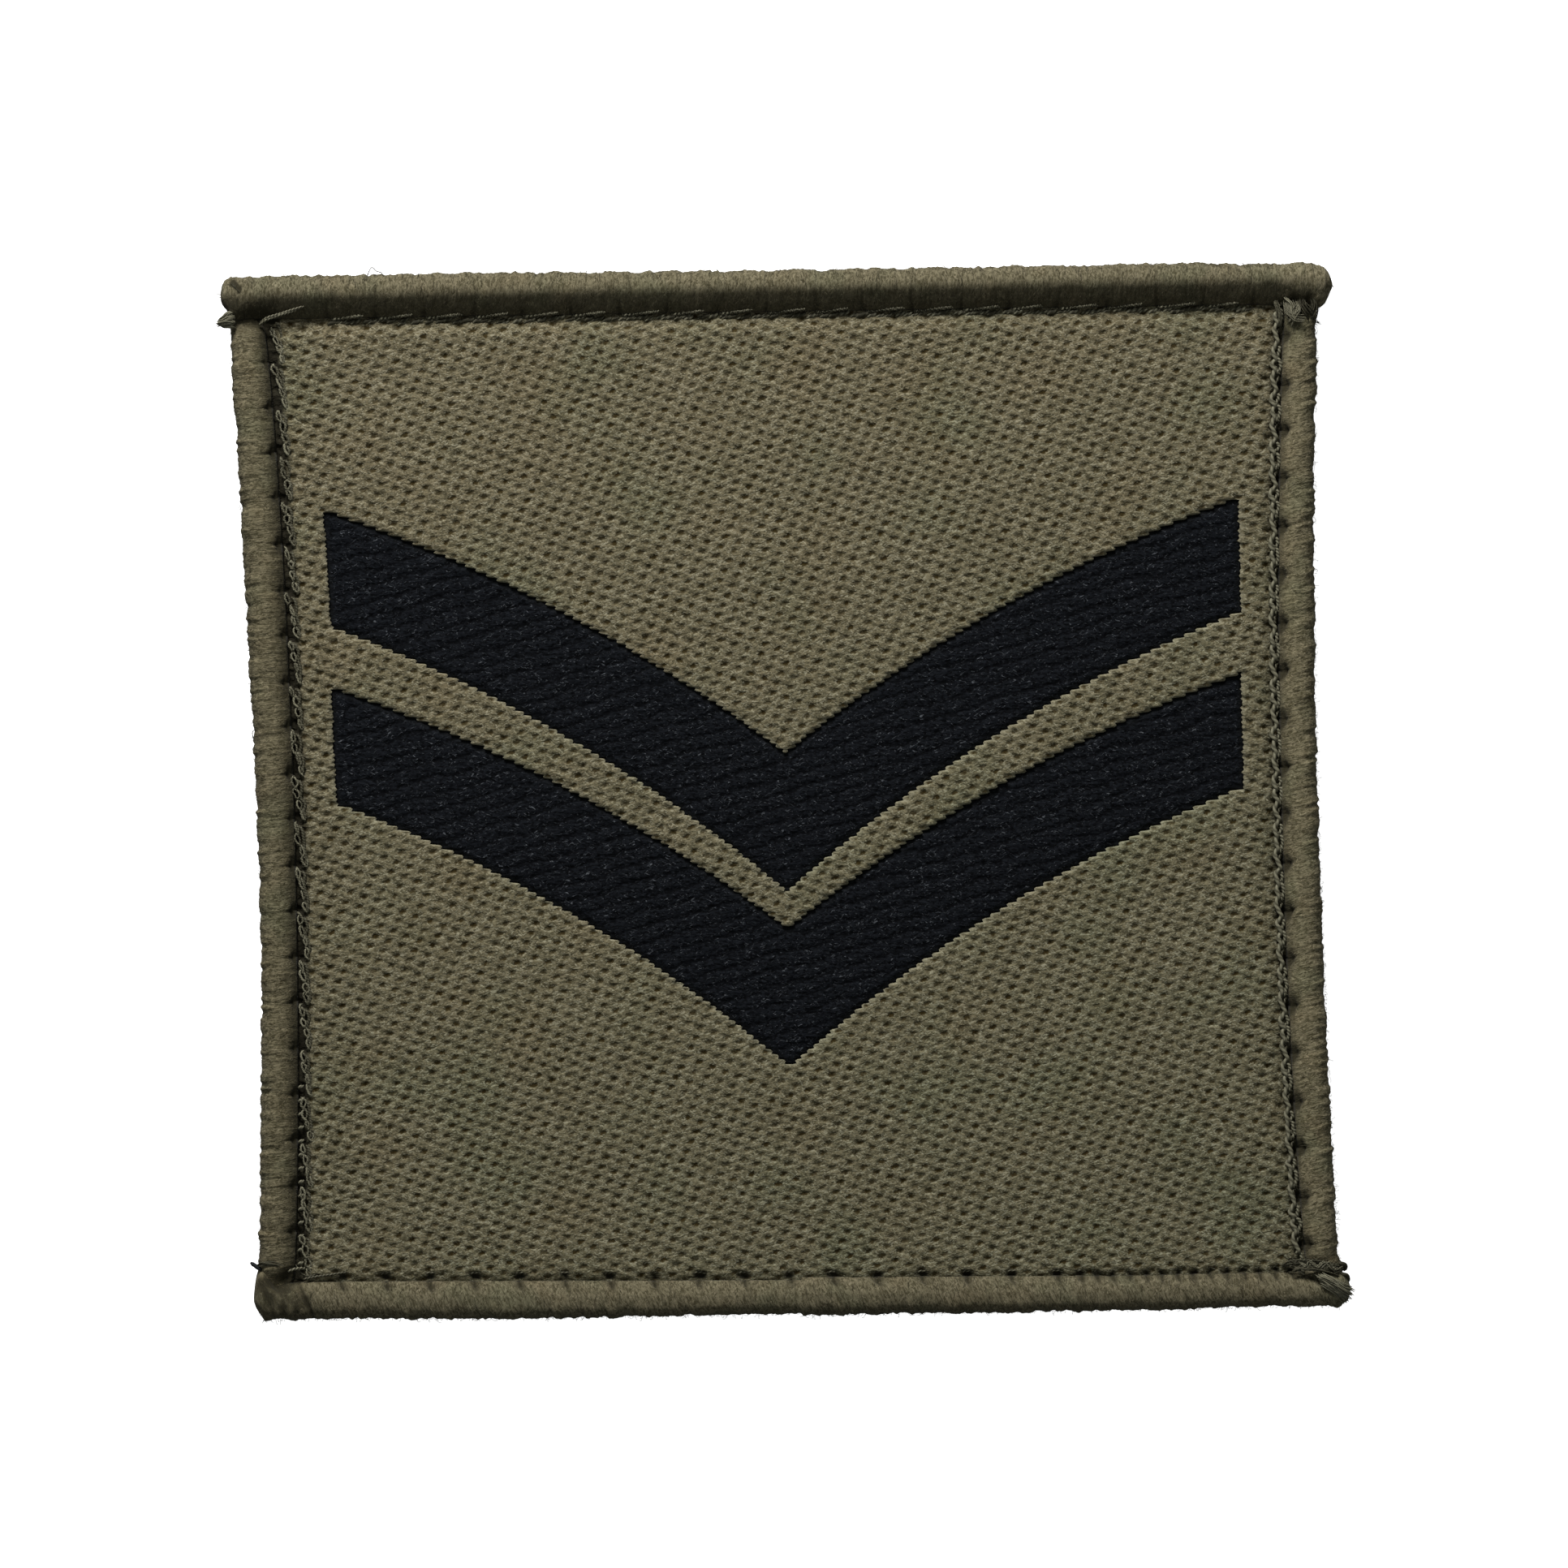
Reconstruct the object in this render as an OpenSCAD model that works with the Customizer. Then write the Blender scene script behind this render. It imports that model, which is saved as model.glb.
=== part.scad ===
// Square woven rank patch: a ground cloth with two inlaid chevrons, bound by four wound edge rolls.
// It lies face up. X runs to the patch's right, Y to its top and Z out of its face.
// The origin is in the middle of the patch, on the surface that it lies on. All sizes are in millimetres.

/* [Outline] */
// Width across the side rolls at the top edge
top_width = 74.2; // [71:0.1:82]
// Width across the side rolls halfway up
waist_width = 71.8; // [66:0.1:80]
// Width across the side rolls at the bottom edge
bottom_width = 73.6; // [71:0.1:82]
// Height from the bottom roll's outer edge to the top roll's outer edge
patch_height = 70.9; // [60:0.1:90]
// How far the bottom edge sits to the right of the top edge
lean = 0.86; // [0:0.02:2]

/* [Cloth] */
// Thickness of the ground cloth
cloth_t = 2.1; // [2:0.05:3]
// Thickness of the cloth's pressed edge, which the rolls hold
flange_t = 1.2; // [1:0.05:1.4]
// Depth of the groove that the seam pulls into the face beside the rolls
groove_depth = 0.3; // [0.1:0.05:0.4]
// Width of the slope from the groove up to the face
groove_slope = 1.2; // [0.4:0.1:1.8]

/* [Edge rolls] */
// Width of the left roll
left_roll_width = 2.65; // [2:0.05:3.6]
// Width of the right roll
right_roll_width = 2.45; // [2:0.05:3.6]
// Width of the top roll
top_roll_width = 3.0; // [2:0.05:4]
// Width of the bottom roll
bottom_roll_width = 2.6; // [2:0.05:4]
// Height of the side rolls above the face
side_roll_rise = 0.75; // [0.3:0.05:1.5]
// Height of the top roll above the face
top_roll_rise = 1.05; // [0.3:0.05:1.5]
// Height of the bottom roll above the face
bottom_roll_rise = 0.85; // [0.3:0.05:1.5]
// Thickness of the thread outside the cloth's cut edge
roll_wall = 0.9; // [0.5:0.05:1.4]
// How far the top roll runs past the left side
top_left_overrun = 0.4; // [0.2:0.05:2]
// How far the top roll runs past the right side
top_right_overrun = 0.95; // [0.2:0.05:2]
// How far the bottom roll runs past the left side
bottom_left_overrun = 0.25; // [0.2:0.05:2]
// How far the bottom roll runs past the right side
bottom_right_overrun = 0.6; // [0.2:0.05:2]
// Length over which the ends of the top and bottom rolls are rounded off
end_round = 1; // [0.4:0.1:1.05]

/* [Chevrons] */
// Thickness of the inlaid chevrons
chevron_t = 1; // [0.6:0.05:1.2]
// How far the chevrons lie below the face
chevron_drop = 0.1; // [0:0.02:0.3]
// Width of a chevron's band, square to its edges
band_width = 7.3; // [4:0.1:9]
// Radius of an arm's upper edge
arm_radius = 111; // [60:1:400]
// Slope of the line from the apex to the arm's end, in degrees
arm_slope = 28.5; // [15:0.1:32]
// Height of the upper chevron's inner apex above the patch's middle
apex_height = 2.6; // [-2:0.1:6]
// Distance from the upper chevron down to the lower one
chevron_pitch = 11.9; // [10.5:0.1:13]
// Distance from the arms' ends to the wider side roll, halfway up
end_margin = 2.15; // [1.9:0.05:8]

/* [Fits] */
// Gap between a roll and the cloth, and between two rolls
seam_gap = 0.1; // [0.05:0.01:0.3]
// Gap round each chevron
inlay_gap = 0.08; // [0.03:0.01:0.2]

/* [Hidden] */

// Colours of the olive cloth, the black inlays and the olive edge thread
CLOTH_COLOUR = [0.38, 0.36, 0.28];
INLAY_COLOUR = [0.08, 0.09, 0.11];
THREAD_COLOUR = [0.42, 0.40, 0.30];

// Stations along the cloth's sides and along a roll, points round a roll, facets of a full circle
SIDE_STEPS = 16;
ROLL_STEPS = 34;
RIM_STEPS = 16;
CIRCLE_FACETS = 256;

LEFT = -1;
RIGHT = 1;

// Corners that the slot adds to a roll's section
SLOT_CORNERS = 2;

// Share of the slot's depth where a roll's end closes, and the rounding error allowed in finding it
CLOSED_SLOT = 0.05;
ROUNDING = 1e-6;

// Columns of the form tables: the share of the length, then the share that is looked up
ALONG = 0;
SIZE = 1;
BULGE = 1;
LIFT = 2;

// Heights of the pressed edge and of the slot that holds it
flange_top = cloth_t - groove_depth;
flange_floor = flange_top - flange_t;
slot_top = flange_top + seam_gap;
slot_floor = flange_floor - seam_gap;

// Heights of the pocket under a chevron and of the rolls
pocket_floor = cloth_t - chevron_drop - chevron_t;
side_roll_height = cloth_t + side_roll_rise;
top_roll_height = cloth_t + top_roll_rise;
bottom_roll_height = cloth_t + bottom_roll_rise;

// Outer edges of the patch, and the inner edges of the top and bottom rolls
top_y = patch_height / 2;
bottom_y = -patch_height / 2;
top_inner_y = top_y - top_roll_width;
bottom_inner_y = bottom_y + bottom_roll_width;

// Half the span of a chevron, and how far its arms' ends rise above its apex
half_span = waist_width / 2 - max(left_roll_width, right_roll_width) - end_margin;
arm_rise = half_span * tan(arm_slope);

// Distance from the middle of an arm's chord to the centre of its arcs
arm_offset = sqrt(pow(arm_radius, 2) - pow(half_span / cos(arm_slope) / 2, 2));

// Rounding of a roll's end: share of end_round from the tip, share of the full section there
END_FORM = [
    [0.00, 0.40],
    [0.12, 0.62],
    [0.35, 0.83],
    [0.65, 0.96],
    [1.00, 1.00]
];

// Uneven winding of each roll: share of its length, share of its width that it bulges out,
// share of its height that it stands higher. Side rolls run upwards, the others to the right.
LEFT_FORM = [
    [0.00, -0.02, -0.10],
    [0.06,  0.02, -0.02],
    [0.20,  0.04,  0.01],
    [0.38,  0.00, -0.01],
    [0.55, -0.03,  0.01],
    [0.63, -0.05, -0.02],
    [0.72, -0.01,  0.01],
    [0.88,  0.02,  0.00],
    [0.95,  0.00, -0.04],
    [1.00, -0.06, -0.14]
];
RIGHT_FORM = [
    [0.00,  0.00, -0.10],
    [0.05,  0.03, -0.02],
    [0.22,  0.01,  0.01],
    [0.40,  0.02, -0.01],
    [0.52, -0.02,  0.00],
    [0.66,  0.01,  0.01],
    [0.82,  0.02, -0.01],
    [0.93,  0.02, -0.03],
    [1.00, -0.04, -0.12]
];
TOP_FORM = [
    [0.00,  0.00, -0.06],
    [0.03,  0.02, -0.02],
    [0.08,  0.04,  0.01],
    [0.18,  0.02,  0.00],
    [0.34,  0.00, -0.02],
    [0.52, -0.02, -0.01],
    [0.70, -0.01,  0.01],
    [0.86,  0.00,  0.00],
    [0.94,  0.01,  0.02],
    [0.98,  0.04,  0.05],
    [1.00,  0.02,  0.02]
];
BOTTOM_FORM = [
    [0.00,  0.00, -0.03],
    [0.03,  0.03,  0.00],
    [0.08, -0.04, -0.02],
    [0.22,  0.03,  0.01],
    [0.45, -0.01,  0.00],
    [0.68,  0.02,  0.01],
    [0.84,  0.00, -0.01],
    [0.93, -0.02, -0.02],
    [0.97,  0.01,  0.00],
    [1.00,  0.00, -0.04]
];

function between(low, high, share) = low + (high - low) * share;

// Value in a table's column at a share of the length
function form_at(table, column, share) =
    lookup(share, [for (row = table) [row[ALONG], row[column]]]);

// X of the patch's outer edge on one side at height y: it bows in at the waist and leans
function edge_x(side, y) =
    let (
        height_share = 2 * y / patch_height,
        taper = (top_width - bottom_width) / 4,
        bow = (top_width + bottom_width - 2 * waist_width) / 4,
        half_width = waist_width / 2 + taper * height_share + bow * pow(height_share, 2)
    )
    side * half_width - lean * height_share / 2;

// Two triangles for a four-sided face
function quad(a, b, c, d) = [[a, b, c], [a, c, d]];
function flat_list(lists) = [for (list = lists) each list];
function reversed(list) = [for (i = [len(list) - 1 : -1 : 0]) list[i]];

// One level of the cloth: the outline drawn in by the given insets, up the left side and down the right
function cloth_ring(left, right, top, bottom, z) =
    let (
        low = bottom_y + bottom,
        high = top_y - top,
        heights = [for (k = [0 : SIDE_STEPS]) between(low, high, k / SIDE_STEPS)]
    )
    concat(
        [for (y = heights) [edge_x(LEFT, y) + left, y, z]],
        [for (y = reversed(heights)) [edge_x(RIGHT, y) - right, y, z]]
    );

// A level whose edge lies a given distance inside every roll's inner edge
function level_by_rolls(inside, z) = cloth_ring(
    left_roll_width + inside, right_roll_width + inside,
    top_roll_width + inside, bottom_roll_width + inside, z
);

// A level that reaches out to the thread of the rolls
function level_in_slots(z) =
    let (inset = roll_wall + seam_gap)
    cloth_ring(inset, inset, inset, inset, z);

// Closed body through levels of equal point count, with a ladder of faces across its top and bottom
module cloth_body() {
    levels = [
        level_by_rolls(seam_gap, 0),
        level_by_rolls(seam_gap, flange_floor),
        level_in_slots(flange_floor),
        level_in_slots(flange_top),
        level_by_rolls(seam_gap, flange_top),
        level_by_rolls(seam_gap + groove_slope, cloth_t)
    ];
    count = 2 * (SIDE_STEPS + 1);
    last = (len(levels) - 1) * count;
    walls = [
        for (i = [0 : len(levels) - 2], k = [0 : count - 1])
            let (here = i * count, next = (k + 1) % count)
            quad(here + k, here + next, here + count + next, here + count + k)
    ];
    ladder = [
        for (k = [0 : SIDE_STEPS - 1])
            quad(k, k + 1, count - 2 - k, count - 1 - k)
    ];
    back = [for (face = flat_list(ladder)) reversed(face)];
    front = [for (face = flat_list(ladder)) [for (corner = face) corner + last]];
    polyhedron(points = flat_list(levels), faces = concat(flat_list(walls), back, front));
}

// Section of a roll, as distance in from its outer edge and height. It goes over the top from the
// upper lip to the lower lip, then round the slot. size is the share of the full section,
// and slot the share of the slot's depth.
function roll_section(width, height, bulge, lift, size, slot) =
    let (
        out = bulge * width,
        mid_u = (width - out) / 2,
        half_u = (width + out) / 2,
        half_z = height * (1 + lift) / 2,
        start = asin((slot_top - half_z) / half_z),
        stop = 360 + asin((slot_floor - half_z) / half_z),
        rim = [
            for (k = [0 : RIM_STEPS])
                let (a = between(start, stop, k / RIM_STEPS))
                [mid_u + size * half_u * cos(a), half_z + size * half_z * sin(a)]
        ],
        upper = rim[0],
        lower = rim[RIM_STEPS]
    )
    concat(rim, [
        [between(lower.x, roll_wall, slot), lower.y],
        [between(upper.x, roll_wall, slot), upper.y]
    ]);

// Closed body through roll sections, with each end filled from the slot's two inner corners
module roll_body(sections, flip) {
    low_corner = RIM_STEPS + 1;
    high_corner = low_corner + 1;
    count = low_corner + SLOT_CORNERS;
    half = RIM_STEPS / 2;
    walls = [
        for (i = [0 : len(sections) - 2], k = [0 : count - 1])
            let (here = i * count, next = (k + 1) % count)
            quad(here + k, here + next, here + count + next, here + count + k)
    ];
    cap = concat(
        [for (k = [0 : half - 1]) [high_corner, k, k + 1]],
        [for (k = [half : RIM_STEPS - 1]) [low_corner, k, k + 1]],
        [[high_corner, half, low_corner]]
    );
    last = (len(sections) - 1) * count;
    first_cap = [for (face = cap) reversed(face)];
    last_cap = [for (face = cap) [for (corner = face) corner + last]];
    faces = concat(flat_list(walls), first_cap, last_cap);
    polyhedron(
        points = flat_list(sections),
        faces = flip ? [for (face = faces) reversed(face)] : faces
    );
}

// Sections of a side roll, from just above the bottom roll to just under the top roll
function side_roll_sections(side, width, form) = [
    for (k = [0 : ROLL_STEPS])
        let (
            share = k / ROLL_STEPS,
            y = between(bottom_inner_y + seam_gap, top_inner_y - seam_gap, share),
            bulge = form_at(form, BULGE, share),
            lift = form_at(form, LIFT, share)
        )
        [
            for (point = roll_section(width, side_roll_height, bulge, lift, 1, 1))
                [edge_x(side, y) - side * point.x, y, point.y]
        ]
];

// Distances along a roll of a given length: close together in its rounded ends, even between them
function end_roll_stations(length) = concat(
    [for (row = END_FORM) row[ALONG] * end_round],
    [for (k = [1 : ROLL_STEPS - 1]) between(end_round, length - end_round, k / ROLL_STEPS)],
    [for (row = reversed(END_FORM)) length - row[ALONG] * end_round]
);

// Sections of the top or bottom roll, whose ends run past the sides and close round the cloth's corners
function end_roll_sections(outer_y, inward, start_x, end_x, width, height, form) =
    let (length = end_x - start_x)
    [
        for (along = end_roll_stations(length))
            let (
                from_tip = min(along, length - along) / end_round,
                size = form_at(END_FORM, SIZE, from_tip),
                slot = from_tip < 1 - ROUNDING ? CLOSED_SLOT : 1,
                bulge = form_at(form, BULGE, along / length),
                lift = form_at(form, LIFT, along / length)
            )
            [
                for (point = roll_section(width, height, bulge, lift, size, slot))
                    [start_x + along, outer_y + inward * point.x, point.y]
            ]
    ];

// Outline of a chevron whose inner apex is at apex_y, grown by a margin all round
module chevron_outline(apex_y, margin) {
    centre_x = half_span / 2 + arm_offset * sin(arm_slope);
    centre_y = apex_y + arm_rise / 2 - arm_offset * cos(arm_slope);
    for (side = [0, 1]) mirror([side, 0]) intersection() {
        translate([centre_x, centre_y]) difference() {
            circle(r = arm_radius + margin, $fn = CIRCLE_FACETS);
            circle(r = arm_radius - band_width - margin, $fn = CIRCLE_FACETS);
        }
        translate([0, centre_y]) square([half_span + margin, arm_radius + 2 * margin]);
    }
}

module chevron(apex_y) {
    color(INLAY_COLOUR)
        translate([0, 0, pocket_floor])
            linear_extrude(height = chevron_t)
                chevron_outline(apex_y, 0);
}

module chevron_pocket(apex_y) {
    translate([0, 0, pocket_floor])
        linear_extrude(height = cloth_t)
            chevron_outline(apex_y, inlay_gap);
}

module ground_cloth() {
    color(CLOTH_COLOUR) difference() {
        cloth_body();
        chevron_pocket(apex_height);
        chevron_pocket(apex_height - chevron_pitch);
    }
}

module upper_chevron() {
    chevron(apex_height);
}

module lower_chevron() {
    chevron(apex_height - chevron_pitch);
}

module left_roll() {
    color(THREAD_COLOUR)
        roll_body(side_roll_sections(LEFT, left_roll_width, LEFT_FORM), false);
}

module right_roll() {
    color(THREAD_COLOUR)
        roll_body(side_roll_sections(RIGHT, right_roll_width, RIGHT_FORM), true);
}

module top_roll() {
    mid_y = top_y - top_roll_width / 2;
    color(THREAD_COLOUR)
        roll_body(end_roll_sections(
            top_y, -1,
            edge_x(LEFT, mid_y) - top_left_overrun,
            edge_x(RIGHT, mid_y) + top_right_overrun,
            top_roll_width, top_roll_height, TOP_FORM
        ), false);
}

module bottom_roll() {
    mid_y = bottom_y + bottom_roll_width / 2;
    color(THREAD_COLOUR)
        roll_body(end_roll_sections(
            bottom_y, 1,
            edge_x(LEFT, mid_y) - bottom_left_overrun,
            edge_x(RIGHT, mid_y) + bottom_right_overrun,
            bottom_roll_width, bottom_roll_height, BOTTOM_FORM
        ), true);
}

ground_cloth();
upper_chevron();
lower_chevron();
left_roll();
right_roll();
top_roll();
bottom_roll();
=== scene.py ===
"""Looks of a square woven rank patch: cloth with two inlaid chevrons, wound edge rolls and seams.

Lengths in the property groups are in metres. The makers work in millimetres and scale at the end.
X runs to the patch's right, Y to its top and Z out of its face, as in the frame. What differs from
edge to edge stands in rows of four, for the left, right, top and bottom edge.
"""

import math
from types import SimpleNamespace

import bmesh
import bpy
import numpy as np
from bpy.props import FloatProperty, FloatVectorProperty, IntProperty, PointerProperty
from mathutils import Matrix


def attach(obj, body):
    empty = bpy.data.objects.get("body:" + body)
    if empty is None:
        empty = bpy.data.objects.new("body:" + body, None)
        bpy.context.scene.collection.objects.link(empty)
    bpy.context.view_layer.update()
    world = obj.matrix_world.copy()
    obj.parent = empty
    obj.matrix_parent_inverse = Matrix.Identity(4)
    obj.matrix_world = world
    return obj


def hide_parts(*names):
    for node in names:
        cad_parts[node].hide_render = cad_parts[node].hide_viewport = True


bl_info = {
    "name": "Rank chevron patch",
    "version": (1, 0, 0),
    "blender": (4, 5, 0),
    "location": "3D View > Sidebar > Patch",
    "description": "Makes a woven rank patch with wound edges, seams and a studio",
    "category": "Object",
}

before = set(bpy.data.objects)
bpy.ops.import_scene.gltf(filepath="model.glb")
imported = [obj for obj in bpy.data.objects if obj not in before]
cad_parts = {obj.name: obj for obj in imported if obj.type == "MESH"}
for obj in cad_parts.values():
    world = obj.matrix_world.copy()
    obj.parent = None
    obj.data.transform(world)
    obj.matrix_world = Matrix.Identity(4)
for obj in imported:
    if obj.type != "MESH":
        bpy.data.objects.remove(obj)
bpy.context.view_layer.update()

MM = 0.001
LEFT, RIGHT = -1, 1
UP = np.array([0.0, 0.0, 1.0])
# Threads after which the satin repeats, and how many warps its bindings move over from pick to pick
SATIN, SATIN_STEP = 7, 3
# Random values along each side of a noise table
TABLE = 512
# The rolls' names, and the length round a roll's section
ROLLS = ("left_roll", "right_roll", "top_roll", "bottom_roll")
ROUND = 7.5
# Height of the first needle hole of each side seam, and where both seams end
FIRST_HOLES = {LEFT: 29.6, RIGHT: 30.2}
SIDE_SEAM_END = -32.0
# Places along the end rolls: the first needle hole, where the top seam ends, where the bottom
# seam's dense holes begin, the step to the first of them, and where they end
FIRST_END_HOLE, TOP_SEAM_END, DENSE_FROM, DENSE_STEP, DENSE_END = -30.6, 33.0, 20.0, 1.6, 34.0

# The cloth beside each roll: depth of the groove, how far under the roll the slope begins, how much
# painted shade the groove gets and how far that reaches, and where the pressed edge begins
GROOVE_DEPTHS = (0.24, 0.09, 0.0, 0.0)
SLOPES_UNDER = (0, 0, 0, 0.7)
GROOVE_DARKS = (0.95, 0.36, 0.15, 0.04)
GROOVE_REACHES = (0.95, 0.7, 0.5, 0.3)
PRESSED_EDGES = (0.02, 0, 0.1, -0.08)

# The bottom roll's extra width: places along it, width there
BOTTOM_TAPER = ((-36.5, -33, -9, 22, 36), (0, 0.36, 0.05, -0.26, -0.15))

# The chevrons' ends: x at the lower and at the upper corner of the left and of the right end
UPPER_ENDS = ((-30.68, -31.08), (31.07, 30.97))
LOWER_ENDS = ((-30.5, -30.77), (31.05, 31.0))
# Height of an end as a share of the band's width
END_HEIGHT = 1.13
# Rise of the chevrons' faint rows to the right, in radians
ROW_RISE = 0.26

# The end rolls' tips seen from above: distance from the tip, outer side and inner side in from the
# outer edge, share of the height
TOP_LEFT_TIP = np.array([
    (0, 0.95, 1.7, 0.35), (0.08, 0.6, 1.95, 0.55), (0.22, 0.32, 2.15, 0.72),
    (0.4, 0.18, 2.35, 0.84), (0.7, 0.08, 2.95, 0.93), (1.1, 0.02, 3.1, 0.98), (1.8, 0, 3, 1),
])
TOP_RIGHT_TIP = np.array([
    (0, 1.45, 1.9, 0.35), (0.1, 1.08, 2.1, 0.5), (0.25, 0.72, 2.45, 0.66), (0.5, 0.42, 2.95, 0.8),
    (0.78, 0.22, 3.2, 0.9), (1.1, 0.1, 3.35, 0.98), (1.6, 0.02, 3.25, 1.02), (2.6, -0.02, 3, 1),
])
BOTTOM_LEFT_TIP = np.array([
    (0, 1.25, 1.95, 0.4), (0.08, 1, 2.6, 0.52), (0.16, 0.85, 3.1, 0.64), (0.28, 0.68, 3.5, 0.74),
    (0.45, 0.42, 3.7, 0.84), (0.7, 0.12, 3.7, 0.93), (0.95, 0.02, 3.45, 0.97), (1.3, 0.05, 3, 0.98),
    (1.75, 0.12, 2.5, 1), (2.6, 0.12, 2.4, 1),
])
BOTTOM_RIGHT_TIP = np.array([
    (0, 0.75, 1.6, 0.3), (0.1, 0.45, 1.9, 0.45), (0.28, 0.18, 2.25, 0.62), (0.5, 0.04, 2.5, 0.76),
    (0.8, -0.04, 2.65, 0.88), (1.2, -0.06, 2.75, 0.96), (2, 0, 2.6, 1),
])

# Uneven winding: share of the roll's length, bulge share of its width, lift share of its height
LEFT_FORM = np.array([
    (0, -0.02, -0.1), (0.06, 0.01, -0.02), (0.2, 0, 0.01), (0.38, -0.02, -0.01), (0.55, 0.03, 0.01),
    (0.63, 0.06, -0.02), (0.72, 0.07, 0.01), (0.88, 0.04, 0), (0.95, 0.03, -0.04),
    (1, -0.04, -0.14),
])
RIGHT_FORM = np.array([
    (0, 0, -0.1), (0.05, 0.03, -0.02), (0.22, 0.08, 0.01), (0.4, 0.08, -0.01), (0.52, 0.06, 0),
    (0.66, 0.06, 0.01), (0.82, 0.03, -0.01), (0.93, 0.04, -0.03), (1, -0.02, -0.12),
])
TOP_FORM = np.array([
    (0, -0.02, -0.06), (0.03, 0, -0.02), (0.08, -0.01, 0.01), (0.18, -0.01, 0),
    (0.34, -0.02, -0.02), (0.52, -0.05, -0.01), (0.7, -0.04, 0.01), (0.86, -0.03, 0),
    (0.94, -0.07, 0.02), (0.98, -0.04, 0.05), (1, -0.02, 0.02),
])
BOTTOM_FORM = np.array([
    (0, 0, -0.03), (0.03, 0.03, 0), (0.08, 0, -0.02), (0.22, 0.08, 0.01), (0.45, 0.07, 0),
    (0.68, 0.05, 0.01), (0.84, 0.05, -0.01), (0.93, 0, -0.02), (0.97, 0.01, 0), (1, 0, -0.04),
])

# Marks on each roll: place along it, distance in, half length, half width, darkness, depth; the
# darkness is painted shade in the dents and in places darker thread, and a negative one paints
# light on a bump
LEFT_MARKS = (
    (-32.5, 2.1, 0.5, 1, 1.3, 0.4), (32.1, 1.6, 0.55, 1.8, 0.6, 0.1),
    (31, 2.5, 1.2, 0.6, 0.5, 0.05), (4.2, 0.4, 0.16, 1.3, 0.5, 0.16),
    (-31.2, 0.9, 0.25, 0.9, 0.3, 0.06),
)
RIGHT_MARKS = (
    (31.7, 1.5, 0.7, 1.2, 0.5, 0.12), (32.3, 2, 0.4, 0.6, 0.7, 0.15),
    (-32.2, 1.5, 0.35, 1.6, 0.4, 0.08),
)
TOP_MARKS = (
    (-37, 0.5, 0.15, 0.16, 4.5, 0.16), (-36.78, 0.68, 0.13, 0.16, 4.5, 0.2),
    (-36.52, 0.95, 0.12, 0.2, 3.5, 0.16), (-36.6, 1.75, 0.15, 0.15, 0.8, 0.06),
    (-37.3, 1.9, 0.5, 0.5, 0.5, 0.05), (-36.2, 0.5, 0.12, 0.12, 0.9, 0.1),
    (-35.2, 2.5, 1.4, 0.7, 0.6, 0.04), (35, 2.75, 0.35, 0.4, 0.7, 0.15),
    (35.95, 2.7, 0.35, 0.4, 0.8, 0.18), (36.5, 3.2, 0.2, 0.3, 0.6, 0.1),
)
BOTTOM_MARKS = (
    (-34.3, 2.65, 1.1, 0.4, 1.3, 0.3), (-32.95, 1.3, 0.14, 1.3, 1, 0.22),
    (-35.5, 1.6, 0.12, 1.1, 0.5, 0.12), (-34.6, 1.3, 1.7, 1.5, 0.75, 0.04),
    (-34.3, 1.5, 0.3, 0.3, -0.35, -0.05), (34.9, 2.35, 0.3, 0.3, 1.2, 0.2),
    (35.35, 2, 0.2, 0.25, 1.2, 0.18), (35.7, 1.7, 0.2, 0.22, 1.2, 0.18),
    (36, 1.4, 0.2, 0.22, 1.1, 0.16), (36.3, 1.1, 0.2, 0.25, 0.9, 0.12),
    (37, 0.4, 0.5, 0.3, 0.3, 0.04),
)

# What differs from roll to roll
ROLL_TRAITS = {
    "form": (LEFT_FORM, RIGHT_FORM, TOP_FORM, BOTTOM_FORM),
    "marks": (LEFT_MARKS, RIGHT_MARKS, TOP_MARKS, BOTTOM_MARKS),
    "tips": ((), (), (TOP_LEFT_TIP, TOP_RIGHT_TIP), (BOTTOM_LEFT_TIP, BOTTOM_RIGHT_TIP)),
    # Extra bulge of a side roll's tucked end, as a share of the width
    "flare": (0.04, 0.10, 0, 0),
    # How far the seam presses the inner side down
    "pressed": (0.45, 0.1, 0.85, 0.1),
    # Fullness of the outer side: 1 is an oval, less is squarer
    "full": (0.8, 0.8, 0.8, 0.6),
    # How far a wrap runs along the roll for each millimetre across it
    "slant": (-0.10, 0.26, 0.05, 0.38),
    # Painted shade across the roll, on its shadow side: share of the width where it begins, share
    # where it is full, strength
    "shade": ((0.55, 0.98, 0.85), (0.70, 1.0, 0.45), (0.32, 0.76, 0.60), (0.16, 0.02, 0.32)),
    # The turn where that shade fades out, and the distances from the right tip where it comes in
    "shade_turn": ((0.52, 0.3), (0.52, 0.3), (0.52, 0.3), (0.66, 0.6)),
    "shade_stop": ((), (), (0.9, 2.6), (0.6, 3.0)),
    # Painted shade in the valleys between wraps
    "valley": (0.15, 0.25, 0.10, 0.40),
    # A stitch's pinch: half length and half width, depth, painted shade, and painted shade of the
    # crease across it
    "pinch": ((0.45, 0.34), (0.52, 0.55), (0.25, 0.3), (0.34, 0.42)),
    "pinch_depth": (0.5, 0.45, 0.15, 0.25),
    "pinch_dark": (1.2, 1.6, 0.3, 0.7),
    "crease_dark": (0.45, 0.3, 0.25, 0.45),
}

# Distance of the side seams' middle in from the outer edge: height on the patch, inset
LEFT_SEAM = np.array([(-32.0, 3.08), (0.0, 2.76), (32.0, 3.08)])
RIGHT_SEAM = np.array([(-32.0, 2.79), (0.0, 2.59), (32.0, 2.71)])

# Distance between the rings of points of a sewn thread
STRAND_STEP = 0.085
# Height of the side seams' thread and of the left one's links, and how far up and down they reach
SEAM_LEVEL, LINK_LEVEL = 1.97, 1.98
SEAM_REACHES = {LEFT: 31.9, RIGHT: 32.2}
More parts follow.
